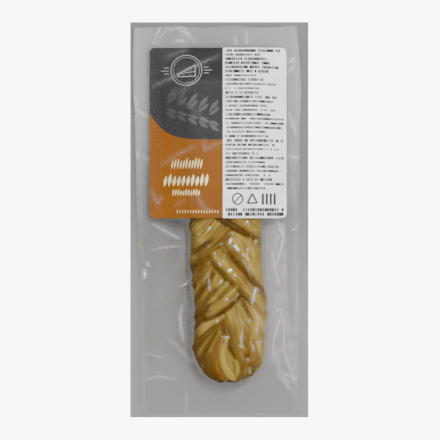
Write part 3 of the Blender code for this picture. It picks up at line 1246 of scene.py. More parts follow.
@dataclass
class FinePrint:
    """Rows of small dark marks on the white panel, from a Geometry Nodes tree."""

    name: str
    left: float
    right: float
    top: float
    bottom: float
    rows: int
    columns: int
    mark: tuple
    shape: LabelShape
    plait: Plait
    shortest: float = 0.55
    filled: float = 0.9
    lift: float = 0.04
    thick: float = 0.03
    seed: int = 3

    def build(self) -> bpy.types.Object:
        """Build the rows and lay them on the card."""
        piece = new_mesh_object(self.name, np.zeros((1, 3)), [])
        ink = Ink.BLACK.build()
        tree = self._tree(ink)
        rows = piece.modifiers.new("rows", "NODES")
        rows.node_group = tree
        settings = {
            "Width": (self.right - self.left) * PHOTO_SCALE,
            "Height": (self.bottom - self.top) * PHOTO_SCALE,
            "Columns": self.columns,
            "Rows": self.rows,
            "Shortest": self.shortest,
            "Seed": self.seed,
        }
        for item in tree.interface.items_tree:
            if item.item_type == "SOCKET" and item.in_out == "INPUT" and item.name in settings:
                rows[item.identifier] = settings[item.name]
        apply_modifiers(piece)
        places = np.empty(len(piece.data.vertices) * 3)
        piece.data.vertices.foreach_get("co", places)
        places = places.reshape(-1, 3)
        x0, y0 = photo_point((self.left + self.right) / 2.0, (self.top + self.bottom) / 2.0)
        x, y = places[:, 0] + x0, places[:, 1] + y0
        z = self.shape.underside(x, y, self.plait) + self.shape.thick + self.lift + places[:, 2]
        piece.data.vertices.foreach_set("co", (np.stack((x, y, z), axis=1) * MM).ravel())
        piece.data.update()
        finish_piece(piece, "printed_label")
        return piece

    def _tree(self, ink: bpy.types.Material) -> bpy.types.NodeTree:
        """Build the tree: a grid of slots, each with a mark, and rows that end at differing places.

        Args:
            ink: The marks' material.

        Returns:
            The tree.
        """
        tree = bpy.data.node_groups.new(f"{self.name}_rows", "GeometryNodeTree")
        tree.interface.new_socket("Geometry", in_out="INPUT", socket_type="NodeSocketGeometry")
        for name in ("Width", "Height", "Shortest"):
            tree.interface.new_socket(name, in_out="INPUT", socket_type="NodeSocketFloat")
        for name in ("Columns", "Rows", "Seed"):
            tree.interface.new_socket(name, in_out="INPUT", socket_type="NodeSocketInt")
        tree.interface.new_socket("Geometry", in_out="OUTPUT", socket_type="NodeSocketGeometry")
        given = tree.nodes.new("NodeGroupInput").outputs

        def add(kind: str, inputs: dict, **settings: object) -> bpy.types.Node:
            """Add a node to this tree.

            Args:
                kind: The node's type.
                inputs: A value, or another node's socket, for each input.
                settings: The node's own settings.

            Returns:
                The node.
            """
            return add_node(tree, kind, inputs, **settings)

        def work(operation: str, first: object, second: object) -> object:
            """Work out a number.

            Args:
                operation: The Math node's operation.
                first: Its first number or socket.
                second: Its second.

            Returns:
                The result's socket.
            """
            return add("ShaderNodeMath", {0: first, 1: second}, operation=operation).outputs[0]

        def draw(low: object, high: float, **inputs: object) -> object:
            """Draw a number for each mark, or one for all marks of the same ID.

            Args:
                low: The least that it may be.
                high: The most.
                inputs: The node's seed, and its ID where it has one.

            Returns:
                The number's socket.
            """
            inputs = {"Min": low, "Max": high, **inputs}
            return add("FunctionNodeRandomValue", inputs, data_type="FLOAT").outputs[1]

        slots = add("GeometryNodeMeshGrid", {
            "Size X": given["Width"],
            "Size Y": given["Height"],
            "Vertices X": given["Columns"],
            "Vertices Y": given["Rows"],
        })
        place = add("ShaderNodeSeparateXYZ", {0: add("GeometryNodeInputPosition", {}).outputs[0]})
        from_left = work("ADD", place.outputs["X"], work("MULTIPLY", given["Width"], 0.5))
        share = work("DIVIDE", from_left, given["Width"])
        row = work("MULTIPLY", place.outputs["Y"], 10.0)
        row_number = add("FunctionNodeFloatToInt", {0: row}, rounding_mode="ROUND").outputs[0]
        end = draw(given["Shortest"], 1.1, ID=row_number, Seed=given["Seed"])
        within = add("FunctionNodeCompare", {"A": share, "B": end},
                     data_type="FLOAT", operation="LESS_EQUAL").outputs[0]
        kept = add("FunctionNodeRandomValue", {"Probability": self.filled, "Seed": given["Seed"]},
                   data_type="BOOLEAN").outputs[3]
        shown = add("FunctionNodeBooleanMath", {0: within, 1: kept}, operation="AND").outputs[0]
        mark = add("GeometryNodeMeshCube", {"Size": (self.mark[0], self.mark[1], self.thick)})
        bold = draw(0.8, 1.35, ID=row_number, Seed=self.seed + 5)
        wide = draw(0.55, 1.15, Seed=self.seed + 9)
        marks = add("GeometryNodeInstanceOnPoints", {
            "Points": slots.outputs["Mesh"],
            "Selection": shown,
            "Instance": mark.outputs["Mesh"],
            "Scale": add("ShaderNodeCombineXYZ", {"X": wide, "Y": bold, "Z": 1.0}).outputs[0],
        })
        real = add("GeometryNodeRealizeInstances", {0: marks.outputs[0]})
        dressed = add("GeometryNodeSetMaterial", {"Geometry": real.outputs[0], "Material": ink})
        add("NodeGroupOutput", {0: dressed.outputs[0]})
        return tree


@dataclass
class CardDesign:
    """Everything printed on the card: plain shapes of the real print's colours and scale."""

    shape: LabelShape
    plait: Plait

    def build(self) -> None:
        """Build the print of both panels."""
        self._title()
        self._badge()
        self._motif()
        self._panel()

    def _print(self, name: str, ink: Ink) -> LabelPrint:
        """Start one ink's shapes.

        Args:
            name: The piece's name.
            ink: Its ink.

        Returns:
            The print, without shapes yet.
        """
        return LabelPrint(name, ink, self.shape, self.plait)

    def _title(self) -> None:
        """The cream rows on the orange field, the second the boldest."""
        title = self._print("title_rows", Ink.CREAM)
        title.words(171.0, 203.0, 163.5, 11.0, 2.9, 1.2, 11)
        title.words(163.0, 210.0, 180.0, 12.5, 4.6, 3.0, 12)
        title.words(172.0, 201.0, 192.5, 6.5, 2.6, 1.2, 13)
        title.words(176.0, 219.0, 211.5, 3.6, 2.7, 0.5, 14)
        title.build()

    def _badge(self) -> None:
        """A plain ring with a wedge of cheese in it, on the dark field."""
        badge = self._print("wedge_badge", Ink.SILVER)
        x, y = 186.5, 71.0
        for radius, width in ((15.5, 0.8), (13.2, 0.4)):
            badge.ring(x, y, radius, radius, width, 40)
        wedge = [(178.0, 75.0), (195.5, 66.0), (195.5, 77.5), (178.0, 77.5)]
        badge.outline(wedge, 0.9)
        badge.stroke((wedge[0], (195.5, 72.5)), 0.6)
        badge.dot(184.0, 76.2, 0.8)
        badge.dot(190.5, 75.6, 1.1)
        for side in (-1.0, 1.0):
            start = x + side * 17.5
            for row, reach in ((-3.0, 5.0), (0.0, 8.0), (3.0, 5.0)):
                badge.stroke(((start, y + row), (start + side * reach, y + row)), 0.7)
        badge.build()

    def _motif(self) -> None:
        """A faint row of crossing leaves on the dark field."""
        dark = self._print("motif_leaves", Ink.GREY)
        light = self._print("motif_glints", Ink.PALE_GREY)
        light.lift = 0.062
        for step in range(5):
            x, y = 171.0 + 10.6 * step, 104.0 + 3.2 * step
            for number, (rise, reach) in enumerate(((-16.0, 5.0), (-9.0, 6.0), (9.0, 6.0), (15.0, 5.0))):
                start = (x - 4.0, y + 0.25 * rise + 1.5 * number)
                end = (x + reach, y + rise)
                dark.stroke((start, end), 0.6, 0.6, 4.2)
                light.stroke((start, end), 0.2, 0.2, 0.9)
        dark.build()
        light.build()

    def _panel(self) -> None:
        """The fine print of the white panel, with three plain marks under it."""
        fine = FinePrint("fine_print", 226.0, 283.0, 50.5, 188.5, 33, 34, (1.2, 1.6), self.shape, self.plait)
        fine.build()
        bold = FinePrint("bold_print", 226.5, 282.5, 209.8, 214.2, 2, 24, (1.8, 1.9), self.shape, self.plait)
        bold.shortest = 1.0
        bold.build()
        marks = self._print("panel_marks", Ink.BLACK)
        marks.ring(237.5, 199.0, 5.0, 5.4, 1.5)
        marks.stroke(((234.4, 202.1), (240.6, 195.9)), 1.3)
        marks.ring(252.0, 200.0, 5.6, 6.2, 1.7, 3)
        for x in (262.6, 266.6, 270.6, 274.6):
            marks.stroke(((x, 193.5), (x, 204.8)), 2.2)
        marks.build()


@dataclass(frozen=True)
class Crease:
    """One crease of the film: its line in the photograph's pixels, its height and width in millimetres."""

    line: tuple
    height: float = 0.7
    width: float = 0.65
    # whitish line along it: partly the film's own whitening, partly painted highlight
    whitening_and_painted_sheen: float = 1.0


@dataclass(frozen=True)
class Glint:
    """A small flat wrinkle of the film that mirrors the key lamp.

    Its middle, length and width are in the photograph's pixels, and its turn is in degrees from the right.
    """

    middle: tuple
    length: float = 3.0
    width: float = 2.6
    turn: float = 90.0
    # whitish patch over the facet: a painted highlight
    whitening_and_painted_sheen: float = 0.35


@dataclass(frozen=True)
class FilmFinish:
    """Clear vacuum film: mostly see-through, sharp reflections, faint haze on creases with painted
    highlight.
    """

    tint: tuple = (0.95, 0.94, 0.925, 1.0)
    haze_colour: tuple = (0.85, 0.86, 0.855, 1.0)
    roughness: float = 0.04
    most_gloss: float = 0.30
    crease_haze_and_sheen: float = 0.40
    pucker_relief: float = 16.0
    relief: float = 0.00005

    def build(self) -> bpy.types.Material:
        """Build the node material."""
        shader = NodeMaterial("clear_film")
        place = shader.place()
        ripple = shader.noise(place, 420.0, 2.0, 0.5)
        pucker = shader.noise(place, 380.0, 0.0, 0.5)
        pucker = shader.math("MULTIPLY", pucker, shader.attribute("speckle"))
        height = shader.math("MULTIPLY_ADD", pucker, self.pucker_relief, ripple)
        normal = shader.bump(height, 1.0, self.relief)
        clear = shader.add("ShaderNodeBsdfTransparent", {"Color": self.tint})
        gloss = shader.add("ShaderNodeBsdfPrincipled", {
            "Base Color": (1.0, 1.0, 1.0, 1.0),
            "Metallic": 1.0,
            "Roughness": self.roughness,
            "Normal": normal,
        })
        fresnel = shader.add("ShaderNodeFresnel", {"IOR": 1.5, "Normal": normal}).outputs[0]
        share = shader.math("MINIMUM", fresnel, self.most_gloss)
        share = shader.math("MULTIPLY", share, shader.attribute("gloss"))
        patchy = shader.spread(shader.noise(place, 110.0, 2.0), 0.38, 0.62, 0.35, 1.5)
        share = shader.math("MULTIPLY", share, patchy)
        glossy = shader.add("ShaderNodeMixShader", {0: share, 1: clear.outputs[0], 2: gloss.outputs[0]})
        # whitish layer: film haze, with painted highlight on creases and glints and painted light lifting
        # shade
        cloud = shader.add("ShaderNodeBsdfDiffuse", {"Color": self.haze_colour})
        broken = shader.spread(shader.noise(place, 700.0, 2.0), 0.38, 0.62, 0.25, 1.4)
        creased = shader.math("MULTIPLY", shader.attribute("crease"), broken)
        haze = shader.math("MULTIPLY_ADD", creased, self.crease_haze_and_sheen, shader.attribute("haze"))
        mixed = shader.add("ShaderNodeMixShader", {0: haze, 1: glossy.outputs[0], 2: cloud.outputs[0]})
        return shader.surface(mixed.outputs[0])


@dataclass(frozen=True)
class FilmHaze:
    """How milky the film looks, with painted light and sheen: the share of haze that each region adds."""

    top: float = 0.16
    right: float = 0.075
    left: float = 0.085
    low: float = 0.035
    seal: float = 0.05
    seal_inset: float = 3.4
    margin: float = 0.015
    painted_shadow_fill: float = 0.04
    left_painted_shadow_fill: float = 0.08
    painted_nook_light: float = 0.06
    rim: float = 0.07
    cheese: float = 0.025
    back: float = 0.012

    def open_film(self, x: np.ndarray, y: np.ndarray, lift: np.ndarray, half_length: float) -> np.ndarray:
        """Work out the haze, painted light and painted sheen beside the card and the cheese.

        Args:
            x: X of the places.
            y: Y of the places.
            lift: How far the film stands off the empty bag there.
            half_length: Half the bag's length.

        Returns:
            The share of haze at each place.
        """
        up = y / half_length
        top = self.top * ease((up + 0.05) / 0.75)
        # painted sheen from the lamp at the right
        right = self.right * ease((x + 10.0) / 60.0) * ease((up + 0.95) / 0.6)
        # painted light lifting the card's shadow beside its left edge
        left = self.left * ease((-46.0 - x) / 6.0) * ease((up + 0.05) / 0.12)
        low = self.low * ease((-0.6 - up) / 0.2)
        from_side = np.minimum(x - x[:, :1], x[:, -1:] - x)
        seal = self.seal * np.exp(-(((from_side - self.seal_inset) / 0.6) ** 2))
        seal = seal + self.margin * (from_side < self.seal_inset)
        # painted light lifting the shade beside the cheese, most at its left
        painted_shadow_fill = (self.painted_shadow_fill + self.left_painted_shadow_fill * ease((8.0 - x) / 20.0)) * ease(lift / 10.0)
        painted_nook_light = self.painted_nook_light * np.exp(-(((x + 24.5) / 4.5) ** 2)) * ease((y + 48.0) / 18.0)
        # painted light beside the cheese's right side
        rim = self.rim * np.exp(-(((x - 38.5) / 4.0) ** 2))
        rim = rim * ease((y + 112.0) / 12.0) * ease((4.0 - y) / 8.0)
        return top + right + left + low + seal + painted_shadow_fill + painted_nook_light + rim

    def painted_sheen_over_cheese(self, x: np.ndarray) -> np.ndarray:
        """Work out the painted sheen over the cheese: a little at its right side.

        Args:
            x: X of the places.

        Returns:
            The share of haze at each place.
        """
        return self.cheese * ease((x - 24.0) / 12.0)


@dataclass(frozen=True)
class BagOutline:
    """The bag's outline, as places along its sides."""

    length: float = 280.0
    left: tuple = (
        (-140.0, -56.0), (-60.0, -57.1), (0.0, -58.4), (60.0, -59.6), (105.0, -61.6), (140.0, -60.4))
    right: tuple = (
        (-140.0, 61.0), (-60.0, 61.4), (0.0, 59.7), (60.0, 60.1), (100.0, 61.2), (140.0, 58.0))
    across_bands: tuple = ((0.27, 40), (0.81, 125), (1.0, 36))
    along_bands: tuple = ((0.045, 14), (0.51, 294), (0.945, 97), (1.0, 30))

    def grid(self) -> tuple[np.ndarray, np.ndarray]:
        """Lay a grid over the bag, finer over the cheese that shows.

        Returns:
            X and Y of the grid's points, a row for each step along.
        """
        up = self.length * (self._shares(self.along_bands) - 0.5)
        left = np.interp(up, *np.array(self.left).T)
        right = np.interp(up, *np.array(self.right).T)
        x = left[:, None] + (right - left)[:, None] * self._shares(self.across_bands)[None, :]
        near_top = ease((up[:, None] - 125.0) / 15.0)
        y = up[:, None] + near_top * (1.1 * np.sin(x / 7.0) + 0.4)
        return x, y

    def _shares(self, bands: tuple) -> np.ndarray:
        """Space out places from 0 to 1.

        Args:
            bands: For each band its end and its number of steps.

        Returns:
            The places.
        """
        places, start = [np.zeros(1)], 0.0
        for end, steps in bands:
            places.append(np.linspace(start, end, steps + 1)[1:])
            start = end
        return np.concatenate(places)


@dataclass
class BagFilm:
    """The bag's two films as one closed skin, drawn down over the cheese and the card."""

    outline: BagOutline
    finish: FilmFinish
    haze: FilmHaze
    creases: tuple
    puckers: tuple
    glints: tuple
    coarse: int = 3
    load: float = 0.55
    rounds: int = 420
    film: float = 0.12
    apart: float = 0.3
    open_gloss: float = 0.16
    top_gloss: float = 0.4
    card_top: float = 122.0
    braid_gloss: float = 0.2
    card_gloss: float = 0.14
    back_gloss: float = 0.2
    pucker_gloss: float = 0.3
    braid_speckle: float = 0.08
    glint_height: float = 24.0

    def build(self, braid: bpy.types.Object, card: bpy.types.Object) -> bpy.types.Object:
        """Build the film over what it holds.

        Args:
            braid: The cheese.
            card: The label card.

        Returns:
            The film.
        """
        x, y = self.outline.grid()
        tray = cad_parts["vacuum_bag"]
        margin = self._heights(x, y, tray)
        on_braid = self._heights(x, y, braid)
        on_card = self._heights(x, y, card)
        held = np.maximum(on_braid, on_card) + self.film
        front = self._drape(x, y, np.maximum(margin, held))
        front, mark, shine = self._wrinkle(x, y, front)
        back = self._heights(x, y, tray, below=True)
        piece = self._skin(x, y, front, np.minimum(back, front - self.apart))
        under_card = on_card > 0.0
        over_braid = on_braid > on_card
        # film haze with painted light and sheen beside the card, and painted sheen over the cheese
        open_haze = self.haze.open_film(x, y, front - margin, self.outline.length / 2.0)
        haze = np.where(under_card, 0.0, open_haze)
        haze = np.where(over_braid, self.haze.painted_sheen_over_cheese(x), haze)
        speckle = self._pucker(x, y)
        open_gloss = self.open_gloss * np.where(y > self.card_top, self.top_gloss, 1.0)
        gloss = np.where(under_card, self.card_gloss, np.where(over_braid, self.braid_gloss, open_gloss))
        gloss = np.maximum(gloss, np.maximum(shine, self.pucker_gloss * speckle))
        speckle = np.maximum(speckle, np.where(over_braid, self.braid_speckle, 0.0)) * (1.0 - shine)
        low = x[::self.coarse, ::self.coarse]
        for name, high, under in (("crease", mark, 0.0), ("haze", haze, self.haze.back),
                                  ("speckle", speckle, 0.0), ("gloss", gloss, self.back_gloss)):
            set_attribute(piece, name, np.concatenate((high.ravel(), np.full(low.size, under))))
        piece.data.materials.append(self.finish.build())
        shade_smooth(piece)
        finish_piece(piece, "clear_film", "vacuum_bag")
        return piece

    def _wrinkle(self, x: np.ndarray, y: np.ndarray,
                 front: np.ndarray) -> tuple[np.ndarray, np.ndarray, np.ndarray]:
        """Press the creases and the glints into the film.

        Args:
            x: X of the places.
            y: Y of the places.
            front: Heights of the smooth film.

        Returns:
            The film's heights, the whitish veil at each place, partly painted highlight, and how much of a
            glint.
        """
        mark, shine = np.zeros_like(front), np.zeros_like(front)
        for crease in self.creases:
            ridge = self._ridge(x, y, crease)
            front = front + crease.height * ridge
            mark = np.maximum(mark, ridge * crease.whitening_and_painted_sheen)
        for glint in self.glints:
            front, flat = self._flatten(x, y, front, glint)
            mark = np.maximum(mark, glint.whitening_and_painted_sheen * flat)
            shine = np.maximum(shine, flat)
        return front, mark, shine

    def _pucker(self, x: np.ndarray, y: np.ndarray) -> np.ndarray:
        """Find where the film is finely puckered.

        Args:
            x: X of the places.
            y: Y of the places.

        Returns:
            How puckered it is at each place, from 0 to 1.
        """
        speckle = np.zeros_like(x)
        for px, py, radius in self.puckers:
            cx, cy = photo_point(px, py)
            away = np.hypot(x - cx, y - cy) / (radius * PHOTO_SCALE)
            speckle = np.maximum(speckle, np.exp(-(away ** 2)))
        return speckle

    def _flatten(self, x: np.ndarray, y: np.ndarray, front: np.ndarray,
                 glint: Glint) -> tuple[np.ndarray, np.ndarray]:
        """Press one glint's small facet into the film, tilted to mirror the key lamp.

        Args:
            x: X of the places.
            y: Y of the places.
            front: Heights of the front film.
            glint: The glint.

        Returns:
            The film's heights with the facet, and how much of it is at each place.
        """
        middle_x, middle_y = photo_point(*glint.middle)
        turn = math.radians(glint.turn)
        dx, dy = x - middle_x, y - middle_y
        lengthways = np.abs(dx * math.cos(turn) + dy * math.sin(turn)) / (0.5 * glint.length * PHOTO_SCALE)
        sideways = np.abs(dy * math.cos(turn) - dx * math.sin(turn)) / (0.5 * glint.width * PHOTO_SCALE)
        flat = np.exp(-((np.minimum(lengthways, 3.0) ** 8 + np.minimum(sideways, 3.0) ** 8) * 0.5))
        here = Vector((middle_x, middle_y, self.glint_height))
        to_lamp, to_camera = Vector(KEY_LAMP_PLACE) - here, Vector(CAMERA_PLACE) - here
        half = to_lamp.normalized() + to_camera.normalized()
        plane = -(half.x * dx + half.y * dy) / half.z
        near = flat > 0.5
        level = (front - plane)[near].max() if near.any() else 0.0
        return front + flat * (plane + level - front), flat

    def _heights(self, x: np.ndarray, y: np.ndarray, piece: bpy.types.Object,
                 below: bool = False) -> np.ndarray:
        """Find the heights at which upright lines first meet a piece.

        Args:
            x: X of the lines.
            y: Y of the lines.
            piece: The object to meet.
            below: Whether the lines come from below instead of from above.

        Returns:
            The heights, 0 where a line misses.
        """
        found = np.zeros(x.shape)
        way = Vector((0.0, 0.0, 1.0 if below else -1.0))
        start = -0.1 if below else 0.2
        tree = BVHTree.FromPolygons([v.co for v in piece.data.vertices],
                                    [p.vertices[:] for p in piece.data.polygons])
        for place in np.ndindex(x.shape):
            hit = tree.ray_cast(Vector((x[place] * MM, y[place] * MM, start)), way)[0]
            if hit is not None:
                found[place] = hit.z / MM if below else max(0.0, hit.z / MM)
        return found

    def _drape(self, x: np.ndarray, y: np.ndarray, solid: np.ndarray) -> np.ndarray:
        """Stretch a skin over what it holds: it touches the tops and hangs a little between them.

        Args:
            x: X of the places.
            y: Y of the places.
            solid: Heights of what the skin lies on.

        Returns:
            The skin's heights.
        """
        wide, long = np.gradient(x, axis=1)[1:-1, 1:-1], np.gradient(y, axis=0)[1:-1, 1:-1]
        sideways, lengthways = 1.0 / wide**2, 1.0 / long**2
        both = 2.0 * (sideways + lengthways)
        skin = solid.copy()
        for _ in range(self.rounds):
            inner = (sideways * (skin[1:-1, :-2] + skin[1:-1, 2:])
                     + lengthways * (skin[:-2, 1:-1] + skin[2:, 1:-1]) - self.load) / both
            skin[1:-1, 1:-1] = np.maximum(solid[1:-1, 1:-1], inner)
        return skin

    def _ridge(self, x: np.ndarray, y: np.ndarray, crease: Crease) -> np.ndarray:
        """Find how much of a crease there is at each place.

        Args:
            x: X of the places.
            y: Y of the places.
            crease: The crease.

        Returns:
            The share of its height there, from 0 to 1.
        """
        line = np.array([photo_point(*p) for p in crease.line])
        lengths = np.linalg.norm(np.diff(line, axis=0), axis=1)
        total = lengths.sum()
        best = np.full(x.shape, 1e9)
        where = np.zeros(x.shape)
        passed = 0.0
        for (ax, ay), (bx, by), length in zip(line[:-1], line[1:], lengths):
            t = np.clip(((x - ax) * (bx - ax) + (y - ay) * (by - ay)) / length**2, 0.0, 1.0)
            away = np.hypot(x - ax - t * (bx - ax), y - ay - t * (by - ay))
            closer = away < best
            best = np.where(closer, away, best)
            where = np.where(closer, (passed + t * length) / total, where)
            passed += length
        fade = np.clip(4.0 * where * (1.0 - where), 0.0, 1.0) ** 0.5
        return fade * np.exp(-np.abs(best) / crease.width)

    def _skin(self, x: np.ndarray, y: np.ndarray, front: np.ndarray, back: np.ndarray) -> bpy.types.Object:
        """Join a fine front and a coarse back along the bag's edge.

        Args:
            x: X of the fine grid.
            y: Y of the fine grid.
            front: Heights of the front film.
            back: Heights of the back film.

        Returns:
            The closed film.
        """
        rows, columns = x.shape
        step = self.coarse
        fine = np.arange(rows * columns).reshape(rows, columns)
        points = [np.stack((x.ravel(), y.ravel(), front.ravel()), axis=1)]
        xb, yb, zb = (a[::step, ::step] for a in (x, y, back))
        low = fine.size + np.arange(xb.size).reshape(xb.shape)
        points.append(np.stack((xb.ravel(), yb.ravel(), zb.ravel()), axis=1))
        faces = []
        for i in range(rows - 1):
            for j in range(columns - 1):
                faces.append((fine[i, j], fine[i, j + 1], fine[i + 1, j + 1], fine[i + 1, j]))
        for i in range(low.shape[0] - 1):
            for j in range(low.shape[1] - 1):
                faces.append((low[i, j], low[i + 1, j], low[i + 1, j + 1], low[i, j + 1]))
        sides = (
            (fine[0], low[0]),
            (fine[:, -1], low[:, -1]),
            (fine[-1, ::-1], low[-1, ::-1]),
            (fine[::-1, 0], low[::-1, 0]),
        )
        for high, bottom in sides:
            for i in range(len(bottom) - 1):
                run = high[i * step:(i + 1) * step + 1]
                faces.append((bottom[i], bottom[i + 1], *run[::-1]))
        faces = [tuple(int(v) for v in face) for face in faces]
        return new_mesh_object("bag_film", np.concatenate(points), faces)


@dataclass(frozen=True)
class Lamp:
    """One square soft lamp, aimed at the pack: where it stands, its side and its power in watts."""

    name: str
    place: tuple
    size: float
    power: float

    def build(self) -> None:
        """Set the lamp up."""
        data = bpy.data.lights.new(self.name, "AREA")
        data.size = self.size * MM
        data.energy = self.power
        lamp = bpy.data.objects.new(self.name, data)
        lamp.location = Vector(self.place) * MM
        lamp.rotation_euler = (-lamp.location).to_track_quat("-Z", "Y").to_euler()
        bpy.context.scene.collection.objects.link(lamp)


@dataclass(frozen=True)
class Studio:
    """The floor, the camera and the soft light."""

    field: float = 318.3
    sensor: float = 36.0
    object_height: float = 12.0
    backdrop: tuple = ((130.0, 22.0), (308.5, 417.5))
    backdrop_low: tuple = (0.224, 0.224, 0.223, 1.0)
    backdrop_high: tuple = (0.164, 0.164, 0.164, 1.0)
    floor_colour: tuple = (0.30, 0.30, 0.30, 1.0)
    floor_glow: float = 9.0
    floor_reach: float = 1500.0
    sky: tuple = (0.97, 0.985, 1.0, 1.0)
    sky_strength: float = 0.95
    lamps: tuple = (
        Lamp("key_lamp", KEY_LAMP_PLACE, 140.0, 8.4),
        Lamp("right_lamp", (700.0, -60.0, 900.0), 500.0, 8.2),
        Lamp("left_lamp", (-620.0, 200.0, 900.0), 800.0, 2.0),
        Lamp("spark_lamp", (-120.0, 300.0, 1200.0), 30.0, 1.0),
    )

    def build(self) -> None:
        """Set up the floor, the world, the camera and the lamps."""
        self._floor()
        self._world()
        self._camera()
        for lamp in self.lamps:
            lamp.build()

    def _floor(self) -> None:
        """The grey backdrop just under the pack, on a white floor."""
        distance = CAMERA_PLACE[2]
        grow = distance / (distance - self.object_height)
        middle = np.array(CAMERA_PLACE[:2])
        corners = [middle + (np.array(photo_point(*pixel)) - middle) * grow for pixel in self.backdrop]
        (left, top), (right, bottom) = corners
        grey = self._sheet("backdrop", (left, bottom), (right, top), -0.05)
        shader = NodeMaterial("grey_backdrop")
        # painted light: the backdrop is lighter toward its lower end
        up = shader.add("ShaderNodeSeparateXYZ", {0: shader.place()}).outputs["Y"]
        colour = shader.mix(shader.spread(up, -0.052, 0.021), self.backdrop_low, self.backdrop_high)
        body = shader.add("ShaderNodeBsdfPrincipled", {
            "Base Color": colour, "Roughness": 0.7, "Specular IOR Level": 0.2})
        grey.data.materials.append(shader.surface(body.outputs[0]))
        reach = self.floor_reach
        white = self._sheet("floor", (-reach, -reach), (reach, reach), -1.0)
        shader = NodeMaterial("white_floor")
        paper = shader.add("ShaderNodeBsdfDiffuse", {"Color": self.floor_colour})
        glow = shader.add("ShaderNodeEmission", {"Strength": self.floor_glow})
        seen = shader.add("ShaderNodeLightPath").outputs["Is Camera Ray"]
        mixed = shader.add("ShaderNodeMixShader", {0: seen, 1: paper.outputs[0], 2: glow.outputs[0]})
        white.data.materials.append(shader.surface(mixed.outputs[0]))

    def _sheet(self, name: str, low: tuple, high: tuple, z: float) -> bpy.types.Object:
        """Lay a flat sheet.

        Args:
            name: Its name.
            low: X and Y of its lower left corner.
            high: X and Y of its upper right corner.
            z: Its height.

        Returns:
            The sheet.
        """
        corners = ((low[0], low[1], z), (high[0], low[1], z), (high[0], high[1], z), (low[0], high[1], z))
        return new_mesh_object(name, np.array(corners), [(0, 1, 2, 3)])

    def _world(self) -> None:
        """An even, dim white sky."""
        world = bpy.data.worlds.new("sky")
        world.use_nodes = True
        background = world.node_tree.nodes["Background"]
        background.inputs["Color"].default_value = self.sky
        background.inputs["Strength"].default_value = self.sky_strength
        bpy.context.scene.world = world

    def _camera(self) -> None:
        """A long lens straight above the pack, its top towards the label's end."""
        data = bpy.data.cameras.new("camera")
        data.sensor_width = self.sensor
        data.lens = self.sensor * (CAMERA_PLACE[2] - self.object_height) / self.field
        data.clip_end = 10.0
        camera = bpy.data.objects.new("camera", data)
        camera.location = Vector(CAMERA_PLACE) * MM
        bpy.context.scene.collection.objects.link(camera)
        bpy.context.scene.camera = camera
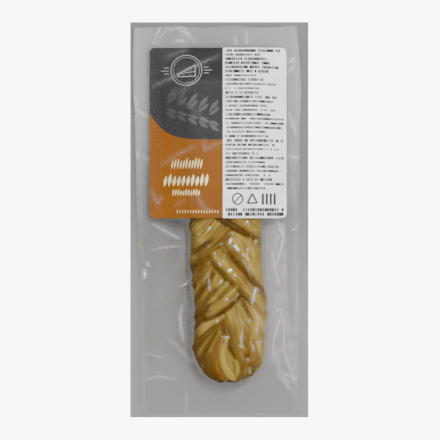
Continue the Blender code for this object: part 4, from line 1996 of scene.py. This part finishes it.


# The ribbons that show, from the card down to the plait's end
# the narrow deep-amber ribbons laid in the creases between groups are partly painted shade
FOLDS = (
    # the group that runs from the card's middle down to the left
    Fold(((212, 214), (201, 226), (187, 240)), 6.5, 0.27),
    Fold(((222, 214), (208, 231), (187, 252)), 6.0, 0.20),
    Fold(((230, 219), (215, 238), (188, 262)), 5.0, 0.42),
    Fold(((214, 241), (203, 248), (189, 257)), 3.4, 0.92, 0.3, (2.0, 1.5)),
    Fold(((233, 223), (221, 240), (209, 251), (190, 267)), 3.4, 0.68, 0.3, (2.5, 3.0), 0.1),
    Fold(((229, 227), (217, 240), (201, 252), (190, 259)), 1.0, 0.30, 0.2, (1.0, 1.0)),
    Fold(((213, 250), (203, 259), (189, 272)), 3.6, 0.95, -0.7, (2.5, 2.0)),
    # the golden group at the right under the card
    Fold(((232, 212), (247, 224), (263, 243)), 7.0, 0.30, 0.2, (2.0, 2.0), 0.12),
    Fold(((222, 220), (236, 228), (257, 239)), 2.6, 1.00, 0.2, (1.0, 1.5)),
    Fold(((246, 212), (256, 222), (263, 234)), 5.0, 0.06, -0.3, (2.0, 2.0), 0.1),
    # the broad pale group that runs down to the right
    Fold(((231, 227), (247, 240), (263, 262)), 4.6, 0.14, -0.4, (2.0, 2.0)),
    Fold(((226, 231), (243, 251), (260, 284)), 7.6, 0.08, 0.2, (3.0, 2.5)),
    Fold(((222, 238), (237, 256), (254, 283)), 2.8, 0.46, 0.1, (2.0, 2.0), 0.1),
    Fold(((231, 255), (242, 267), (256, 285)), 2.2, 1.00, -0.2, (1.5, 1.0)),
    Fold(((217, 244), (234, 264), (257, 294)), 4.2, 0.45, -0.8, (1.5, 2.0), 0.1),
    Fold(((258, 242), (263, 256), (263, 268)), 3.4, 0.40, -0.8, (1.0, 1.0), 0.15),
    Fold(((254, 262), (260, 276), (264, 298)), 4.4, 0.10, 0.0, (1.2, 1.0), 0.05),
    # the rounded olive ribbon beneath it
    Fold(((211, 249), (227, 268), (245, 288), (263, 313)), 5.6, 0.22, 0.9, (1.2, 2.5)),
    Fold(((210, 257), (226, 276), (243, 293), (258, 310)), 2.3, 0.80, 0.2, (1.0, 1.0)),
    Fold(((244, 282), (257, 297), (267, 316)), 3.4, 0.14, -0.4, (2.0, 1.5), 0.1),
    # the second group that runs down to the left
    Fold(((210, 258), (201, 269), (190, 285)), 5.8, 0.50, -0.5, (0.8, 1.0)),
    Fold(((214, 262), (203, 283), (191, 305)), 6.2, 0.46, -0.4, (1.0, 1.0)),
    Fold(((222, 267), (210, 290), (192, 318)), 6.4, 0.22, -0.3, (1.0, 1.0)),
    Fold(((234, 274), (216, 297), (193, 330)), 5.0, 0.46, -0.2, (1.2, 1.2), 0.1),
    Fold(((228, 282), (217, 294), (206, 305)), 1.2, 0.05, 0.2, (1.0, 1.0)),
    Fold(((205, 262), (197, 276), (191, 287)), 1.3, 0.75, 0.0, (0.6, 0.6)),
    Fold(((211, 277), (201, 292), (192, 303)), 1.3, 0.80, 0.1, (0.6, 0.6)),
    Fold(((214, 292), (206, 305), (197, 322), (191, 337)), 3.8, 0.95, 0.3, (1.5, 1.5), 0.1),
    Fold(((241, 283), (231, 289), (221, 298)), 3.6, 0.50, 0.2, (1.0, 1.0)),
    Fold(((237, 298), (226, 308), (214, 316), (206, 319)), 1.5, 1.00, 0.3, (0.6, 0.6)),
    Fold(((239, 290), (225, 303), (210, 315)), 5.0, 0.26, 0.7, (2.0, 0.8)),
    Fold(((234, 289), (224, 298), (213, 307)), 1.2, 0.05, 1.2, (1.0, 1.0)),
    # the broad pale group near the lower end
    Fold(((227, 302), (235, 321), (242, 350)), 8.0, 0.32, 0.4, (1.2, 1.5)),
    Fold(((218, 314), (226, 333), (233, 348), (242, 364)), 3.4, 0.80, -0.5, (1.5, 1.5)),
    Fold(((236, 298), (248, 317), (258, 345)), 5.4, 0.06, 0.2, (1.6, 1.5)),
    Fold(((246, 300), (259, 319), (265, 345)), 5.0, 0.05, -0.1, (1.6, 1.5), 0.05),
    Fold(((243, 303), (248, 312), (252, 321)), 1.2, 0.75, 0.0, (1.0, 1.0), 0.0),
    Fold(((245, 331), (252, 347), (255, 366)), 4.6, 0.50, 0.0, (2.0, 2.0), 0.35),
    Fold(((256, 338), (261, 352), (257, 372)), 4.2, 0.06, -0.4, (1.5, 2.0), 0.1),
    Fold(((231, 338), (238, 350), (243, 364)), 4.4, 0.46, -0.6, (2.0, 2.0)),
    Fold(((264, 300), (267, 312), (264, 328)), 3.2, 0.30, -0.6, (1.0, 1.0), 0.2),
    # the fan at the lower left
    Fold(((219, 316), (209, 323), (195, 335)), 4.8, 0.10, 0.2, (1.0, 2.0)),
    Fold(((220, 321), (208, 332), (194, 345)), 2.4, 0.72, 0.1, (2.0, 2.0)),
    Fold(((221, 324), (210, 341), (197, 358)), 5.6, 0.34, 0.0, (2.0, 2.0)),
    Fold(((215, 333), (206, 349), (199, 364)), 1.3, 0.80, 0.3, (1.0, 1.0)),
    Fold(((223, 329), (214, 350), (204, 372)), 5.0, 0.44, -0.3, (2.0, 2.0), 0.1),
    Fold(((198, 338), (196, 352), (203, 369)), 3.8, 0.85, -0.9, (1.0, 1.5), 0.1),
    # the end, where the strands curl under
    Fold(((224, 334), (217, 351), (216, 367), (228, 379)), 4.4, 0.58, 0.5, (1.5, 1.5), 0.45, (2.0, 0.0)),
    Fold(((211, 352), (208, 365), (218, 376)), 4.4, 0.80, -0.6, (1.5, 1.5), 0.2, (3.0, 0.0)),
    Fold(((226, 336), (222, 353), (226, 369), (236, 380)), 3.8, 0.00, 0.9, (1.0, 1.5), 0.0, (1.0, 0.0)),
    Fold(((228, 348), (231, 362), (235, 374)), 3.8, 0.30, -1.0, (2.0, 1.0), 0.0, (1.0, 0.0)),
    Fold(((233, 358), (237, 366), (235, 377)), 2.6, 0.28, -0.4, (1.0, 1.0), 0.0, (0.0, 0.0)),
    Fold(((247, 362), (248, 371), (243, 380)), 6.4, 0.64, -1.0, (1.5, 1.5), 0.0, (2.0, 0.0)),
    Fold(((243, 371), (239, 378), (233, 382)), 2.8, 0.60, -1.2, (1.0, 1.0), 0.0, (1.0, 0.0)),
    Fold(((255, 362), (253, 371), (248, 378)), 4.0, 0.70, -1.2, (1.5, 1.5), 0.1, (2.0, 0.0)),
)

# Where the film over the cheese is finely puckered: X, Y and radius in the photograph's pixels
PUCKERS = (
    (246, 257, 7.0), (252, 247, 5.0), (250, 239, 4.0), (258, 274, 4.0), (244, 322, 3.5), (215, 318, 4.0),
    (255, 316, 4.0), (233, 366, 4.0), (250, 362, 4.0), (205, 344, 5.0), (236, 341, 4.0), (256, 330, 4.0),
)

# The film's creases, with whitish lines along them that are partly painted highlight
CREASES = (
    # above the card, and beside its left edge
    Crease(((161, 23), (152, 45))),
    Crease(((169, 23), (162, 34), (155, 46)), 0.5, 0.6, 0.8),
    Crease(((173, 24), (186, 33), (197, 44)), 0.5, 0.6, 0.8),
    Crease(((134, 95), (136, 109), (149, 118)), 0.6, 0.7),
    Crease(((163.6, 31), (182, 25), (195, 42))),
    Crease(((173.6, 40), (186, 40))),
    Crease(((246.4, 28.7), (246.4, 45)), 0.3),
    Crease(((235, 35), (235.7, 45))),
    # at the card's right
    Crease(((296, 59), (288, 62))),
    Crease(((295, 64), (288, 74))),
    Crease(((289, 111), (297, 137))),
    Crease(((287, 155), (300, 158)), 1.2, 1.2),
    # at the left, from the card's height down to the lower end
    Crease(((152, 224), (181, 240)), 0.6),
    Crease(((149, 251), (159, 248), (182, 246)), 0.4, 0.55, 0.6),
    Crease(((180, 287), (186, 284), (189, 280)), 0.7, 0.7),
    Crease(((183, 304), (180, 315), (181, 330), (184, 343)), 0.8, 0.8),
    Crease(((144, 269), (144.5, 280)), 0.6, 0.7, 2.2),
    Crease(((146, 262), (148, 267)), 0.4, 0.7, 1.5),
    Crease(((137, 149), (138, 160)), 0.5, 0.8, 0.8),
    Crease(((142, 156), (149, 160)), 0.5, 0.8, 0.7),
    Crease(((145, 381), (158, 377), (178, 380)), 0.5, 0.6, 0.7),
    Crease(((144, 354), (166, 359)), 0.4, 0.6, 0.5),
    Crease(((164, 334), (194, 364)), 0.4, 0.9, 0.45),
    # at the right of the cheese
    Crease(((282, 222), (284, 236), (276, 269)), 0.8, 0.65, 1.4),
    Crease(((277, 219), (280, 228), (283, 240)), 0.4, 1.3, 0.9),
    Crease(((272, 251), (275, 269), (282, 292)), 0.8),
    Crease(((284, 306), (274, 339), (273, 359)), 0.9),
    Crease(((284, 306), (284, 352), (294, 381)), 0.8),
    Crease(((272, 314), (284, 308)), 0.8),
    Crease(((276, 372), (291, 391)), 0.7, 0.6),
    Crease(((279, 371), (290, 378)), 0.3, 0.55, 0.6),
    Crease(((284, 377), (291, 384)), 0.3, 0.5, 0.6),
    Crease(((292, 375), (294, 383)), 0.5, 0.6, 1.3),
    Crease(((292, 231), (299, 226)), 0.6),
    # flat streaks of sheen over the card
    Crease(((151, 87), (185, 72), (222, 54)), 0.0, 1.1, 0.42),
    Crease(((172, 95), (182, 91), (192, 84)), 0.0, 1.4, 0.20),
    Crease(((165, 57), (190, 49)), 0.0, 1.0, 0.25),
    Crease(((160, 166), (178, 155), (196, 146)), 0.0, 1.0, 0.35),
    Crease(((204, 138), (205, 150), (212, 147), (222, 142)), 0.0, 1.0, 0.30),
    Crease(((150, 188), (158, 203), (163, 194)), 0.0, 1.0, 0.30),
    Crease(((174, 206), (186, 199)), 0.0, 0.8, 0.25),
    Crease(((196, 192), (203, 206), (212, 212)), 0.0, 1.0, 0.30),
    Crease(((180, 100), (200, 116), (222, 133)), 0.0, 1.0, 0.15),
    # over the cheese, with lines of painted highlight
    Crease(((208, 272), (209, 281), (210, 291)), 0.5, 0.5, 0.8),
    Crease(((257, 286), (253, 297), (251, 304)), 0.7, 0.7, 1.5),
    Crease(((257, 313), (258, 324), (256, 335)), 0.5, 0.5, 0.9),
    Crease(((243, 328), (241, 338), (241, 347)), 0.5, 0.5, 0.9),
    Crease(((256, 286), (254, 295), (252, 303)), 0.5, 0.7, 1.8),
    Crease(((251, 342), (254, 350)), 0.4, 0.5, 0.9),
    Crease(((250, 366), (250, 374)), 0.4, 0.5, 0.9),
    # faint streaks in the lower margin and at the right
    Crease(((186, 392), (186, 413)), 0.1, 0.6, 0.4),
    Crease(((291, 236), (296, 300), (297, 370)), 0.0, 1.2, 0.15),
)

# The film's glints over the cheese, the three largest first, each with a painted highlight patch
GLINTS = (
    Glint((230.0, 241.1), 4.6, 2.4, 75.0, 1.6),
    Glint((236.4, 247.9), 6.8, 2.9, 128.0, 1.8),
    Glint((229.8, 270.0), 4.0, 2.8, 20.0, 1.6),
    Glint((235.2, 274.6), 2.8, 2.6, 90.0, 0.8),
    Glint((219.7, 263.9), 4.0, 2.4, 125.0, 0.8),
    Glint((209.1, 245.6), 2.6, 2.4),
    Glint((231.8, 233.2), 2.8, 2.4),
    Glint((221.5, 244.1), 2.6, 2.4),
    Glint((208.8, 228.9), 4.5, 2.2, 50.0, 0.6),
    Glint((247.6, 222.6), 4.0, 2.4, 140.0),
    Glint((214.6, 253.0), 2.6, 2.4),
    Glint((226.0, 299.0), 4.0, 2.4, 50.0),
    Glint((235.2, 299.5), 2.6, 2.4),
    Glint((209.4, 287.5), 4.5, 2.2, 95.0, 0.6),
    Glint((220.9, 281.7), 4.5, 2.2, 45.0, 0.6),
    Glint((253.6, 293.0), 5.0, 3.0, 75.0),
    Glint((216.9, 320.4), 4.0, 3.0, 60.0),
    Glint((249.0, 320.4), 3.0, 2.4),
    Glint((225.5, 336.5), 3.2, 2.4),
    Glint((239.3, 344.8), 2.8, 2.6),
    Glint((242.1, 346.2), 3.0, 2.6),
    Glint((247.9, 359.1), 4.0, 3.0, 120.0),
    Glint((260.5, 341.0), 2.6, 2.4),
    Glint((243.5, 255.0), 2.4, 2.2, 90.0, 0.5),
    Glint((247.5, 249.0), 2.4, 2.2, 90.0, 0.5),
    Glint((249.5, 268.5), 2.8, 2.2, 120.0, 0.7),
    Glint((255.9, 241.6), 4.0, 2.2, 60.0, 0.5),
    Glint((244.5, 262.0), 2.4, 2.2, 90.0, 0.5),
)


def main() -> None:
    """Build the pack, piece by piece, and its studio."""
    logging.basicConfig(level=logging.INFO, format="%(name)s: %(message)s")
    plait = Plait()
    braid = CheeseBraid(plait, Crown(), FOLDS, CheeseFinish()).build()
    card = LabelCard(LabelShape(), plait, CardFinish()).build()
    CardDesign(LabelShape(), plait).build()
    BagFilm(BagOutline(), FilmFinish(), FilmHaze(), CREASES, PUCKERS, GLINTS).build(braid, card)
    Studio().build()


if __name__ == "__main__":
    main()
